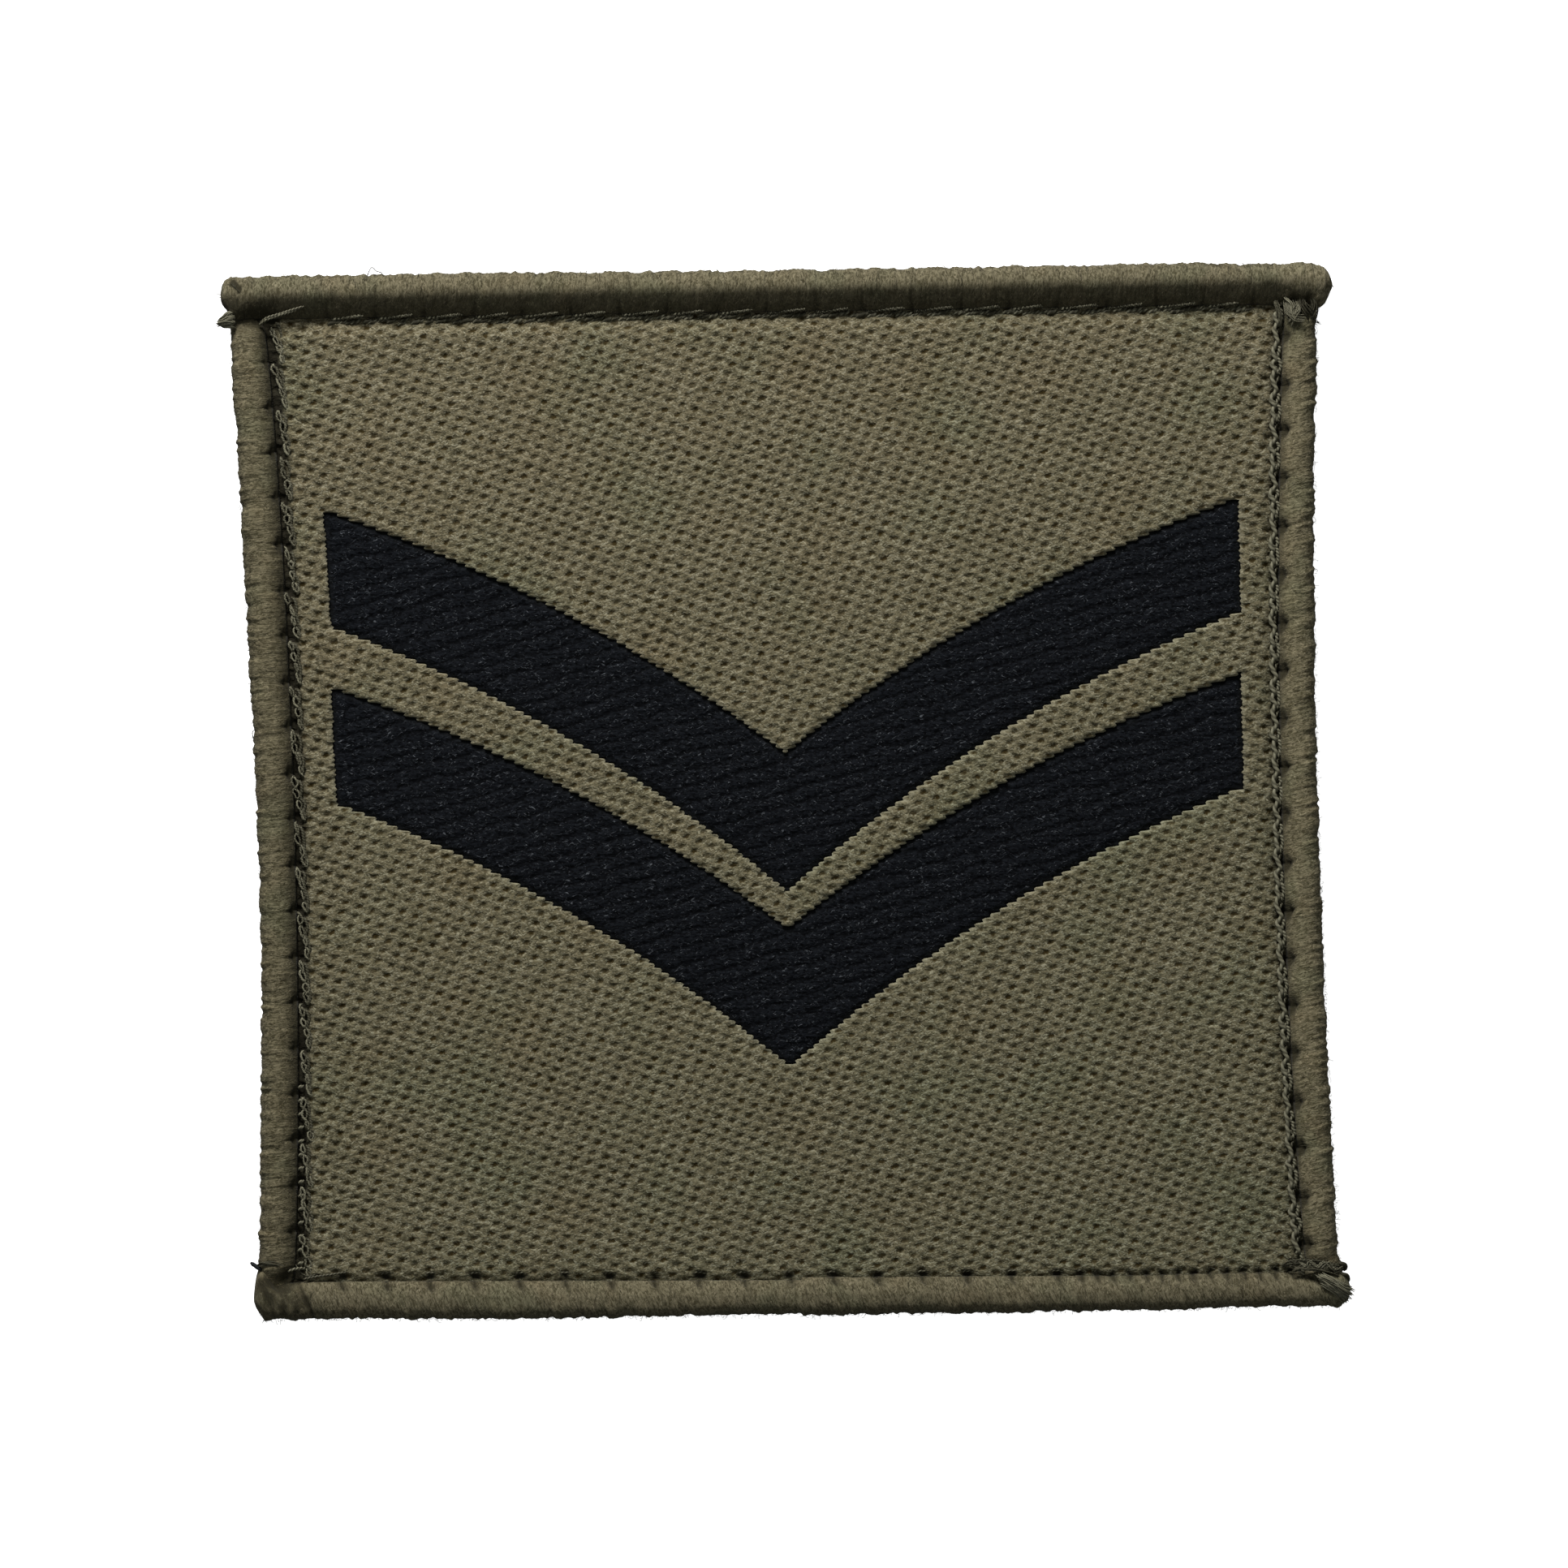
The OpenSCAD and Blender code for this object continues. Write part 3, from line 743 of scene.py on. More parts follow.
class Shell:
    """The points, point values and faces of a closed mesh while it grows ring by ring."""

    def __init__(self, points, values, faces):
        """Starts from a face whose points lie in a grid."""
        self.points, self.values, self.faces = points, values, [faces]

    def add_ring(self, points, values):
        """Adds points with their values and gives their numbers."""
        start = len(self.points)
        self.points = np.concatenate([self.points, points])
        self.values = np.concatenate([self.values, values])
        return np.arange(start, start + len(points))

    def sink(self, edges, ids, ring):
        """Adds a wall from edges down to points in the order of ids, and gives its lower edge."""
        lower = self.add_ring(ring, self.values[ids])
        place = dict(zip(ids.tolist(), lower.tolist()))
        down = np.array([[place[a], place[b]] for a, b in edges.tolist()])
        self.faces.append(np.stack([edges[:, 1], edges[:, 0], down[:, 0], down[:, 1]], axis=1))
        return down


def as_rows(*columns):
    """Arrays of one shape as the columns of a table with a row for each point."""
    return np.stack([column.ravel() for column in columns], axis=1)


def at_height(points, height):
    """A copy of points, moved up or down to one height."""
    return np.column_stack([points[:, :2], np.full(len(points), height)])


def close_mesh(mesh, loops=()):
    """Fills each loop of point pairs with flat triangles, drops points that no face uses and turns
    all faces outwards."""
    form = bmesh.new()
    form.from_mesh(mesh)
    form.verts.ensure_lookup_table()
    for pairs in loops:
        edges = [form.edges.get((form.verts[int(a)], form.verts[int(b)])) for a, b in pairs]
        made = bmesh.ops.triangle_fill(form, use_beauty=True, use_dissolve=False, edges=edges)
        for item in made["geom"]:
            if isinstance(item, bmesh.types.BMFace):
                item.smooth = False
    loose = [v for v in form.verts if not v.link_faces]
    bmesh.ops.delete(form, geom=loose, context="VERTS")
    bmesh.ops.recalc_face_normals(form, faces=form.faces)
    form.to_mesh(mesh)
    form.free()


def face_height(x, y, size):
    """Height of the cloth's face without its weave: sloped and grooved beside the rolls."""
    cloth = size.cloth
    over, groove = np.ones(x.shape), np.zeros(x.shape)
    for inset, width, depth, under in zip(
        insets(x, y, cloth), roll_widths(size.roll, x), GROOVE_DEPTHS, SLOPES_UNDER
    ):
        over = np.minimum(over, smooth(0, 1, (inset - width - cloth.gap + under) / cloth.slope))
        groove += depth * np.exp(-(((inset - width - 0.22) / 0.24) ** 2))
    z = cloth.flange_top + (cloth.face - cloth.flange_top) * over - groove
    return z + 0.035 * noise(x / 5 + 9, y / 4 + 5, size.weave.seed + 2) * over


def weave_relief(x, y, p, q, size):
    """How far the weave stands out: arched floats, ridged picks and a hollow at each binding."""
    weave, roll = size.weave, size.roll
    alpha, beta = binding(p, q)
    whole_a, whole_b = np.rint(alpha), np.rint(beta)
    part_a, part_b = alpha - whole_a, beta - whole_b
    row, column = whole_a.astype(int) % TABLE, whole_b.astype(int) % TABLE
    long_step, short_step = binding_axes(weave)
    rng = np.random.default_rng(weave.seed + 3)
    shift = rng.normal(0, 0.03, (2, TABLE, TABLE))
    power = rng.uniform(0.55, 1.25, (TABLE, TABLE))
    dx = part_a * long_step[0] + part_b * short_step[0] - shift[0, row, column]
    dy = part_a * long_step[1] + part_b * short_step[1] - shift[1, row, column]
    c, s = math.cos(weave.dip_rise), math.sin(weave.dip_rise)
    far = np.hypot((dx * c + dy * s) / weave.dip_long, (dy * c - dx * s) / weave.dip_wide)
    dip = np.exp(-(far**2)) * power[row, column]

    pick = np.rint(q)
    run = ((p - SATIN_STEP * pick) % SATIN) / SATIN
    arch = np.sin(math.pi * run) ** 0.8
    crest = np.cos(2 * math.pi * (q - pick))
    edges = insets(x, y, size.cloth)
    from_sides = np.minimum(edges[0] - roll.left_width, edges[1] - roll.right_width)
    pulled = 1 + 0.8 * (1 - smooth(0.5, 4.5, from_sides))
    relief = (
        weave.arch * arch * pulled + weave.ridge * crest * pulled - weave.dip_depth * dip
        + 0.03 * noise(p * 1.3, q * 1.3, weave.seed + 4)
    )
    clear = np.minimum.reduce([
        inset - width for inset, width in zip(edges, roll_widths(roll, x))
    ])
    return relief * (0.25 + 0.75 * smooth(-0.15, 0.35, clear))


def seam_shade(x, y, size):
    """How much painted shade the cloth gets in the seams' grooves and needle holes, and how deep
    the holes are.
    """
    roll = size.roll
    dark, deep = np.zeros(x.shape), np.zeros(x.shape)
    edges = insets(x, y, size.cloth)
    uneven = 0.22 * noise(x / 0.4, y / 0.4, size.weave.seed + 12)
    for inset, width, power, reach in zip(
        edges, roll_widths(roll, x), GROOVE_DARKS, GROOVE_REACHES
    ):
        dark = np.maximum(dark, power * smooth(reach, 0.25 * reach, inset - width + uneven))
    for side, inset, width in zip((LEFT, RIGHT), edges, roll_widths(roll)):
        for hole in stitch_heights(side, size.seam):
            near = np.exp(-(((y - hole) / 0.42) ** 2) - ((inset - width - 0.1) / 0.32) ** 2)
            dark, deep = dark + near, deep + 0.24 * near
    off = edges[3] - roll.bottom_width - bottom_taper(x) - 0.27
    for k, hole in enumerate(end_holes("bottom_roll", size.seam)):
        wide, high = 0.33 + 0.03 * (k * 3 % 5), 0.24 + 0.02 * (k % 3)
        if hole > DENSE_FROM:
            wide, high = 0.22, 0.24
        near = np.exp(-(((x - hole) / wide) ** 4) - (off / high) ** 4)
        near = near * (1 + 1.2 * uneven)
        dark, deep = dark + 1.15 * near, deep + 0.26 * near
    return dark, deep


def gather_columns(grid, pockets):
    """Draws the grid's columns in towards the binding points on the picks' crests, for rounder
    hollows, apart from those beside a pocket."""
    free = (grid.p == np.rint(grid.p)) & (np.arange(grid.rows) % 2 == 1)[:, None]
    half = SATIN / 2
    off = (grid.p - SATIN_STEP * np.rint(grid.q) + half) % SATIN - half
    part = np.abs(off) / half
    closer = np.sign(off) * half * part * (0.62 + 0.38 * part)
    beside = np.zeros(grid.p.shape, bool)
    for pocket in pockets:
        cells = np.pad(pocket, 1)
        beside |= cells[1:, 1:] | cells[:-1, 1:] | cells[1:, :-1] | cells[:-1, :-1]
    grid.p = np.where(free & ~beside, grid.p - off + closer, grid.p)


def woven_face(grid, x, y, size):
    """Points of the cloth's face, and their values: place among the bindings and painted shade."""
    cloth = size.cloth
    dark, deep = seam_shade(x, y, size)
    z = face_height(x, y, size) + weave_relief(x, y, grid.p, grid.q, size) - deep
    in_slot = np.minimum.reduce([
        inset - width - off
        for inset, width, off in zip(insets(x, y, cloth), roll_widths(size.roll, x), PRESSED_EDGES)
    ]) < 0
    z = np.where(in_slot, np.minimum(z, cloth.flange_top + 0.04), z)
    alpha, beta = binding(grid.p, grid.q)
    return as_rows(x, y, z), as_rows(alpha, beta, dark)


def make_ground_cloth(size, material):
    """The cloth as one closed mesh: woven face with two pockets, pressed edge and back."""
    cloth, weave = size.cloth, size.weave
    grid = weave_grid(size, 1, 2)
    apexes = (cloth.apex, cloth.apex - cloth.pitch)
    pockets = [
        lay_spans(grid, chevron_spans(grid.picks, grid.reach, apex, size)) for apex in apexes
    ]
    gather_columns(grid, pockets)
    x, y = weave_point(grid.p, grid.q, weave)
    ok = np.minimum.reduce(insets(x, y, cloth)) >= cloth.in_slot
    inside = ok[1:, 1:] & ok[:-1, 1:] & ok[1:, :-1] & ok[:-1, :-1]
    face = inside & ~pockets[0] & ~pockets[1]
    shell = Shell(*woven_face(grid, x, y, size), grid_faces(face, grid.columns))

    loops = []
    rng = np.random.default_rng(weave.seed + 5)
    for pocket, apex in zip(pockets, apexes):
        edges = border(face, pocket, grid.columns)
        soften(np.unique(edges), shell.points, apex, cloth)
        ids, way = outward(edges, shell.points)
        crest = (ids // grid.columns) % 2 == 1
        inset = shell.points[ids].copy()
        inset[:, :2] -= way * cloth.inlay_gap
        reach = np.where(crest, weave.tooth * rng.uniform(0.5, 1.5, len(ids)), -0.02)
        shell.points[ids, :2] += way * reach[:, None]
        shell.points[ids, 2] -= np.where(crest, 0.02, 0.08)
        # A value of -1 marks these float ends for a painted highlight and keeps hollows off them
        shell.values[ids, 2] = -1
        shoulder = shell.sink(edges, ids, at_height(inset, cloth.face - 0.32))
        loops.append(shell.sink(shoulder, np.unique(shoulder), at_height(inset, cloth.pocket)))

    # Down the cut edge, in under the rolls, and down to the back
    edges = border(face, ~inside, grid.columns)
    ids = np.unique(edges)
    cut = shell.sink(edges, ids, at_height(shell.points[ids], cloth.flange_floor))
    outline = back_outline(size)
    ring = shell.add_ring(at_height(outline, cloth.flange_floor), np.zeros((len(outline), 3)))
    rim = np.stack([ring, np.roll(ring, -1)], axis=1)
    back = shell.sink(rim[:, ::-1], ring, at_height(outline, 0.0))
    loops += [np.concatenate([cut, rim]), back]

    faces = np.concatenate(shell.faces).tolist()
    mesh = new_mesh("ground_cloth", shell.points, faces, {"weave": shell.values})
    close_mesh(mesh, loops)
    return add_piece("woven_ground_cloth", mesh, material)


def back_outline(size):
    """The back's outline, just inside the rolls, anticlockwise from the lower right."""
    cloth, roll = size.cloth, size.roll
    low = -cloth.height / 2 + roll.bottom_width + cloth.gap
    high = cloth.height / 2 - roll.top_width - cloth.gap
    y = np.linspace(low, high, 40)
    right = np.column_stack([edge_x(RIGHT, y, cloth) - roll.right_width - cloth.gap, y])
    left = np.column_stack([edge_x(LEFT, y, cloth) + roll.left_width + cloth.gap, y])
    return np.concatenate([right, left[::-1]])


def make_chevron(name, apex, size, material):
    """One inlaid chevron as a closed mesh with a stepped edge, one step to a pick."""
    cloth, weave = size.cloth, size.weave
    grid = weave_grid(size, 2, 3)
    cells = lay_spans(grid, chevron_spans(grid.picks, grid.reach, apex, size))
    x, y = weave_point(grid.p, grid.q, weave)
    # The rim band along the edge is lowered here and gets painted shade in the material
    rim = 1 - smooth(0.05, 0.5, band_depth(x, y, apex, cloth))
    row = (y * math.cos(ROW_RISE) - x * math.sin(ROW_RISE)) / weave.row_pitch
    row = row + 0.22 * noise(x / 1.6, y / 1.4, weave.seed + 6)
    line = np.exp(-((((row + 0.5) % 1) - 0.5) / 0.16) ** 2)
    crest = np.cos(2 * math.pi * (grid.q - np.rint(grid.q)))
    z = (
        cloth.chevron_face - 0.16 * rim - 0.06 * line * (1 - rim) + 0.018 * crest * (1 - rim)
        + 0.035 * noise(grid.p * 1.1, grid.q * 1.4, weave.seed + 7) * (1 - 0.7 * rim)
        + 0.03 * noise(x / 4, y / 4, weave.seed + 8)
    )
    shell = Shell(as_rows(x, y, z), as_rows(row, grid.q, rim), grid_faces(cells, grid.columns))
    edges = border(cells, ~cells, grid.columns)
    soften(np.unique(edges), shell.points, apex, cloth)
    ids, way = outward(edges, shell.points)
    shell.points[ids, :2] -= way * cloth.inlay_gap
    down = shell.sink(edges, ids, at_height(shell.points[ids], cloth.pocket))
    faces = np.concatenate(shell.faces).tolist()
    sides = range(len(faces) - len(down), len(faces))
    mesh = new_mesh(name, shell.points, faces, {"weave": shell.values}, sides)
    close_mesh(mesh, [down])
    return add_piece(name, mesh, material)


def arc_height(u, mid_u, half_u, half_z):
    """Height of the upper side of an oval section at a distance u in."""
    return half_z * (1 + np.sqrt(np.clip(1 - ((u - mid_u) / half_u) ** 2, 0, 1)))


class Roll:
    """One wound edge roll: where it lies, how thick it is along its length and its relief."""

    SECTION_STEPS = 34

    def __init__(self, name, size):
        """Settles the roll's place and looks from its name, the sizes and the tables."""
        cloth, roll = size.cloth, size.roll
        self.name, self.size, self.number = name, size, ROLLS.index(name)
        self.seed = roll.seed + 10 * self.number
        self.side = (LEFT, RIGHT, None, None)[self.number]
        self.is_top, self.is_bottom = name == "top_roll", name == "bottom_roll"
        self.look = SimpleNamespace(**{key: row[self.number] for key, row in ROLL_TRAITS.items()})
        self.width = roll_widths(roll)[self.number]
        heights = (roll.side_height, roll.side_height, roll.top_height, roll.bottom_height)
        self.height = heights[self.number]
        half = cloth.height / 2
        if self.side:
            self.low = -half + roll.bottom_width + cloth.gap
            self.high = half - roll.top_width - cloth.gap
            self.start, self.stop = self.low - roll.tuck, self.high + roll.tuck
            return
        self.outer = half if self.is_top else -half
        self.inward = -1 if self.is_top else 1
        middle = self.outer + self.inward * self.width / 2
        past_left = roll.top_left if self.is_top else roll.bottom_left
        past_right = roll.top_right if self.is_top else roll.bottom_right
        self.low = self.start = edge_x(LEFT, middle, cloth) - past_left
        self.high = self.stop = edge_x(RIGHT, middle, cloth) + past_right

    def stations(self):
        """Places along the roll: close together in the rounded tips, even between them."""
        roll = self.size.roll
        if self.side:
            return np.linspace(
                self.start, self.stop, int((self.stop - self.start) / roll.station)
            )
        tip = np.array([0, 0.03, 0.08, 0.14, 0.22, 0.30, 0.40, 0.50, 0.60, 0.70, 0.80, 0.90])
        tip = tip * roll.end_round
        low, high = self.start + roll.end_round, self.stop - roll.end_round
        even = np.linspace(low, high, int((high - low) / roll.station))
        return np.concatenate([self.start + tip, even, (self.stop - tip)[::-1]])

    def form_at(self, s):
        """Bulge and lift of the section at places along the roll."""
        part = np.clip((s - self.low) / (self.high - self.low), 0, 1)
        past = np.maximum(self.low - s, s - self.high)
        tucked = smooth(-0.9, 0.5, past) if self.side else 0 * part
        places, bulges, lifts = self.look.form.T
        bulge = np.interp(part, places, bulges) + self.look.flare * tucked
        return bulge, np.interp(part, places, lifts) - 0.20 * tucked

    def pressed(self, s, u, z, mid_u, half_u, half_z):
        """The height after the seam has pressed the inner side down."""
        strength = self.look.pressed
        if self.is_top:
            from_right = smooth(2.2, 4.2, self.stop - s)
            strength = strength * (0.35 + 0.65 * from_right * smooth(1.2, 3.4, s - self.start))
        crest = self.width * 0.36 + 0.12 * noise(s / 0.4, 1.5, self.size.roll.seed + 40)
        top = arc_height(crest, mid_u, half_u, half_z)
        inner, low = mid_u + half_u, self.size.roll.slot_top + 0.12
        part = np.clip((u - crest) / (inner - crest), 0, 1)
        line = top + (low - top) * part**1.5
        weight = smooth(0.0, 0.5, part) * strength
        return np.where(z > half_z, z + weight * np.minimum(line - z, 0), z)

    def tip_at(self, s):
        """How far an end roll's outer side, inner side and share of the height are, near its tips,
        from those of its full section."""
        left, right = self.look.tips
        to_left, to_right = s - self.start, self.stop - s
        rows = []
        for column, full in ((1, 0.0), (2, self.width), (3, 1.0)):
            at_left = np.interp(to_left, left[:, 0], left[:, column])
            at_right = np.interp(to_right, right[:, 0], right[:, column])
            rows.append(np.where(to_left < to_right, at_left, at_right) - full)
        return rows

    def section(self, s, turn):
        """Distance in, height, outward normal and share of the full height at places s and at
        angles turn, which go from 0 at the slot's roof over the top to 1 at its floor."""
        roll = self.size.roll
        bulge, lift = self.form_at(s)
        share = np.ones(s.shape)
        outer, inner = -bulge * self.width, np.full(s.shape, self.width)
        if self.is_bottom:
            inner = self.width + bottom_taper(s)
        if not self.side:
            off_outer, off_inner, shrink = self.tip_at(s)
            outer, inner, share = outer + off_outer, inner + off_inner, share + shrink
        mid_u, half_u = (outer + inner) / 2, (inner - outer) / 2
        half_z = self.height * (1 + lift) / 2
        begin = np.arcsin(np.clip((roll.slot_top - half_z) / half_z, -1, 0.9))
        end = 2 * math.pi + np.arcsin(np.clip((roll.slot_floor - half_z) / half_z, -1, 0.8))
        a = begin + (end - begin) * turn
        c, s_a = np.cos(a), np.sin(a)
        u = mid_u + half_u * np.where(c < 0, -(np.abs(c) ** self.look.full), c)
        z = half_z + share * half_z * s_a
        nu, nz = half_z * c, half_u * s_a
        norm = np.hypot(nu, nz)
        z = self.pressed(s, u, z, mid_u, half_u, half_z)
        return u, z, nu / norm, nz / norm, share

    def top(self, s, u):
        """Height of the roll's upper side at a place along it and a distance in from its edge."""
        s, u = np.asarray(s, float), np.asarray(u, float)
        bulge, lift = self.form_at(s)
        out = bulge * self.width
        mid_u, half_u = (self.width - out) / 2, (self.width + out) / 2
        half_z = self.height * (1 + lift) / 2
        z = arc_height(u, mid_u, half_u, half_z)
        return self.pressed(s, u, z, mid_u, half_u, half_z)

    def place(self, s, u, z):
        """The point in the patch's frame for a place along the roll, a distance in and a height."""
        if self.side:
            x = edge_x(self.side, s, self.size.cloth) - self.side * u
            return np.stack(np.broadcast_arrays(x, s, z), axis=-1)
        return np.stack(np.broadcast_arrays(s, self.outer + self.inward * u, z), axis=-1)

    def stitches(self):
        """Places along the roll where the seam pulls it in."""
        if self.side:
            return stitch_heights(self.side, self.size.seam)
        return end_holes(self.name, self.size.seam)

    def winding(self, s, u, turn, wound, t):
        """Relief of the wraps of thread, and painted shade across the roll and in the valleys,
        without stitches and marks.
        """
        roll, look, seed = self.size.roll, self.look, self.seed
        count = wound / roll.wrap_pitch
        count = count + 0.35 * noise(count / 2.3, 0.0, seed + 1)
        wrap = np.abs(np.cos(math.pi * count)) ** 0.6 - 0.6
        strength = 0.55 + 0.45 * noise(s / 1.1, t / 0.9, seed + 2)
        lump = noise(wound / 0.95, t / 1.3, seed + 3)
        out = roll.wrap_relief * wrap * strength + 0.045 * lump + 0.02 * self.fine_noise(wound, t)
        scallop = 0.08 * noise(wound / 0.30, 0.0, seed + 5)
        scallop = scallop + 0.04 * noise(wound / 1.1, 3.3, seed + 6)
        out = out + smooth(0.55, 0.1, u / self.width) * scallop

        # Painted shade across the roll on its shadow side, fading over the top and, on the end
        # rolls, near the right tip
        begin, full, power = look.shade
        across = u / self.width + 0.08 * noise(wound / 0.14, t / 3, seed + 7)
        across = across + 0.05 * noise(s / 0.6, 0.5, seed + 8)
        dark = power * smooth(0, 1, (across - begin) / (full - begin))
        dark = dark * smooth(*look.shade_turn, turn)
        if look.shade_stop:
            dark = dark * smooth(*look.shade_stop, self.stop - s)
        upper = smooth(0.52, 0.3, turn)
        return out, dark + look.valley * smooth(0.0, -0.45, wrap * strength) * upper

    def fine_noise(self, wound, t):
        """The finest unevenness of the winding."""
        return noise(wound / 0.17, t / 0.8, self.seed + 4)

    def pull_in(self, s, u, turn, wound, out, dark):
        """Lowers the winding where the seam's stitches pull it in, and paints shade into the pinch
        and the crease there.
        """
        look = self.look
        upper = smooth(0.52, 0.3, turn)
        inner = smooth(0.35, 1.0, u / self.width) * upper
        for k, hole in enumerate(self.stitches()):
            near = np.abs(s[:, :1] - hole).ravel() < 1.2
            if not near.any():
                continue
            off = wound[near] - hole - look.slant * self.width / 2
            long, wide = look.pinch
            pinch = np.exp(-((off / long) ** 2) - ((u[near] - self.width) / wide) ** 2)
            crease = np.exp(-((off / 0.11) ** 2)) * inner[near]
            depth = look.pinch_depth * (0.7 + 0.6 * ((k * 7) % 5) / 4)
            out[near] -= (depth * pinch + 0.25 * depth * crease) * upper[near]
            dark[near] += (look.pinch_dark * pinch + look.crease_dark * crease) * upper[near]

    def relief(self, s, u, turn):
        """How far the wound thread stands out at each point, how much painted shade it gets there,
        and the point's place along and round the winding."""
        t = turn * ROUND
        wound = s + self.look.slant * (u - self.width / 2)
        wound = wound + 0.12 * noise(s / 1.7, t / 2.0, self.seed)
        out, dark = self.winding(s, u, turn, wound, t)
        self.pull_in(s, u, turn, wound, out, dark)
        # Marks: dents with painted shade in them, in places darker thread; a negative darkness
        # paints light
        for place, inset, long, wide, power, depth in self.look.marks:
            near = np.exp(-(((wound - place) / long) ** 2) - ((u - inset) / wide) ** 2)
            near = near * smooth(0.55, 0.45, turn)
            dark += power * near
            out -= depth * near
        # Painted shade and light: lumps near the bottom roll's left end are darker in their dips
        # and lighter on their tops
        if self.is_bottom:
            lumpy = smooth(5.0, 3.0, s - self.start) * smooth(0.52, 0.3, turn)
            curl = noise(s / 0.42, t / 0.42, self.seed + 10)
            out = out + 0.10 * lumpy * curl
            dark = dark - 0.5 * lumpy * np.minimum(curl, 0.25)
        if not self.side:
            rough = smooth(1.6, 0.4, np.minimum(s - self.start, self.stop - s))
            coarse = 0.08 * noise(wound / 0.45, t / 0.7, self.seed + 9)
            out = out + rough * (coarse + 0.04 * self.fine_noise(wound, t))
        return out, dark, wound, t


def end_holes(name, seam):
    """Places of the needle holes along the top or bottom roll."""
    if name == "top_roll":
        return np.arange(FIRST_END_HOLE, TOP_SEAM_END, seam.top_stitch)
    wide = np.arange(FIRST_END_HOLE, DENSE_FROM, seam.bottom_stitch)
    dense = np.arange(wide[-1] + DENSE_STEP, DENSE_END, seam.dense_stitch)
    return np.concatenate([wide, dense])


def make_roll(roll, size, material):
    """A wound roll with the slot that holds the cloth's pressed edge, as a closed mesh."""
    s = roll.stations()[:, None]
    turn = np.linspace(0, 1, roll.SECTION_STEPS + 1)[None, :]
    s, turn = np.broadcast_arrays(s, turn)
    u, z, nu, nz, share = roll.section(s, turn)
    out, dark, wound, t = roll.relief(s, u, turn)
    fade = smooth(0, 0.06, turn) * smooth(1, 0.93, turn) * (0.45 + 0.55 * smooth(0.3, 1, share))
    out = out * fade * (0.3 + 0.7 * smooth(0.9, 0.7, turn))
    rim = roll.place(s, u + nu * out, np.maximum(z + nz * out, 0.0))
    # The slot is all but closed in the tips
    slot = np.ones(len(s))
    if not roll.side:
        tip = np.minimum(s[:, 0] - roll.start, roll.stop - s[:, 0]) / size.roll.end_round
        slot = np.where(tip < 1 - 1e-6, 0.05, 1.0)
    corners = []
    for end in (-1, 0):
        inner_u = u[:, end] + (size.roll.wall - u[:, end]) * slot
        corners.append(roll.place(s[:, 0], inner_u, z[:, end])[:, None, :])
    ring = np.concatenate([rim, *corners], axis=1)
    stations, count, _ = ring.shape
    # The third value is the painted shade that the material darkens the thread with
    value = np.stack([wound, t, dark], axis=-1)
    value = np.concatenate([value, value[:, -1:], value[:, :1]], axis=1)
    walls = tube_walls(stations, count)
    first, last = np.arange(count)[::-1], (stations - 1) * count + np.arange(count)
    faces = walls.tolist() + [first.tolist(), last.tolist()]
    mesh = new_mesh(
        roll.name, ring.reshape(-1, 3), faces, {"thread": value.reshape(-1, 3)},
        (len(faces) - 2, len(faces) - 1),
    )
    close_mesh(mesh)
    piece = add_piece("wound_" + roll.name, mesh, material)
    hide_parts(roll.name)
    return piece


def make_fuzz(rolls, size, material):
    """Short fibres that stand off the rolls, as one piece of thin threads."""
    rng = np.random.default_rng(size.roll.seed + 90)
    pile = Pile()
    count = size.roll.fuzz_count
    for roll in rolls:
        s = rng.uniform(roll.start + 0.1, roll.stop - 0.1, count)
        turn = np.where(
            rng.random(count) < 0.55, rng.uniform(0.42, 0.66, count), rng.uniform(0.08, 0.5, count)
        )
        long = size.roll.fuzz_length * rng.uniform(0.5, 1.6, count)
        way = rng.choice([-1, 1], count) * long / ROUND
        lean = rng.normal(0, 0.16, count)
        lift = rng.uniform(0.03, 0.16, count) + (rng.random(count) < 0.1) * 0.15
        steps = []
        for part in np.linspace(0, 1, 5):
            place, where = s + lean * part, np.clip(turn + way * part, 0.03, 0.72)
            u, z, nu, nz, _ = roll.section(place, where)
            rise = -0.03 + lift * math.sin(part * 2.2) + 0.05 * part
            steps.append(roll.place(place, u + nu * rise, np.maximum(z + nz * rise, 0.04)))
        pile.add(*tubes(np.stack(steps, axis=1), size.roll.fuzz_radius, 3, tone=0.0))
    return add_piece("edge_fuzz", pile.mesh("edge_fuzz"), material)


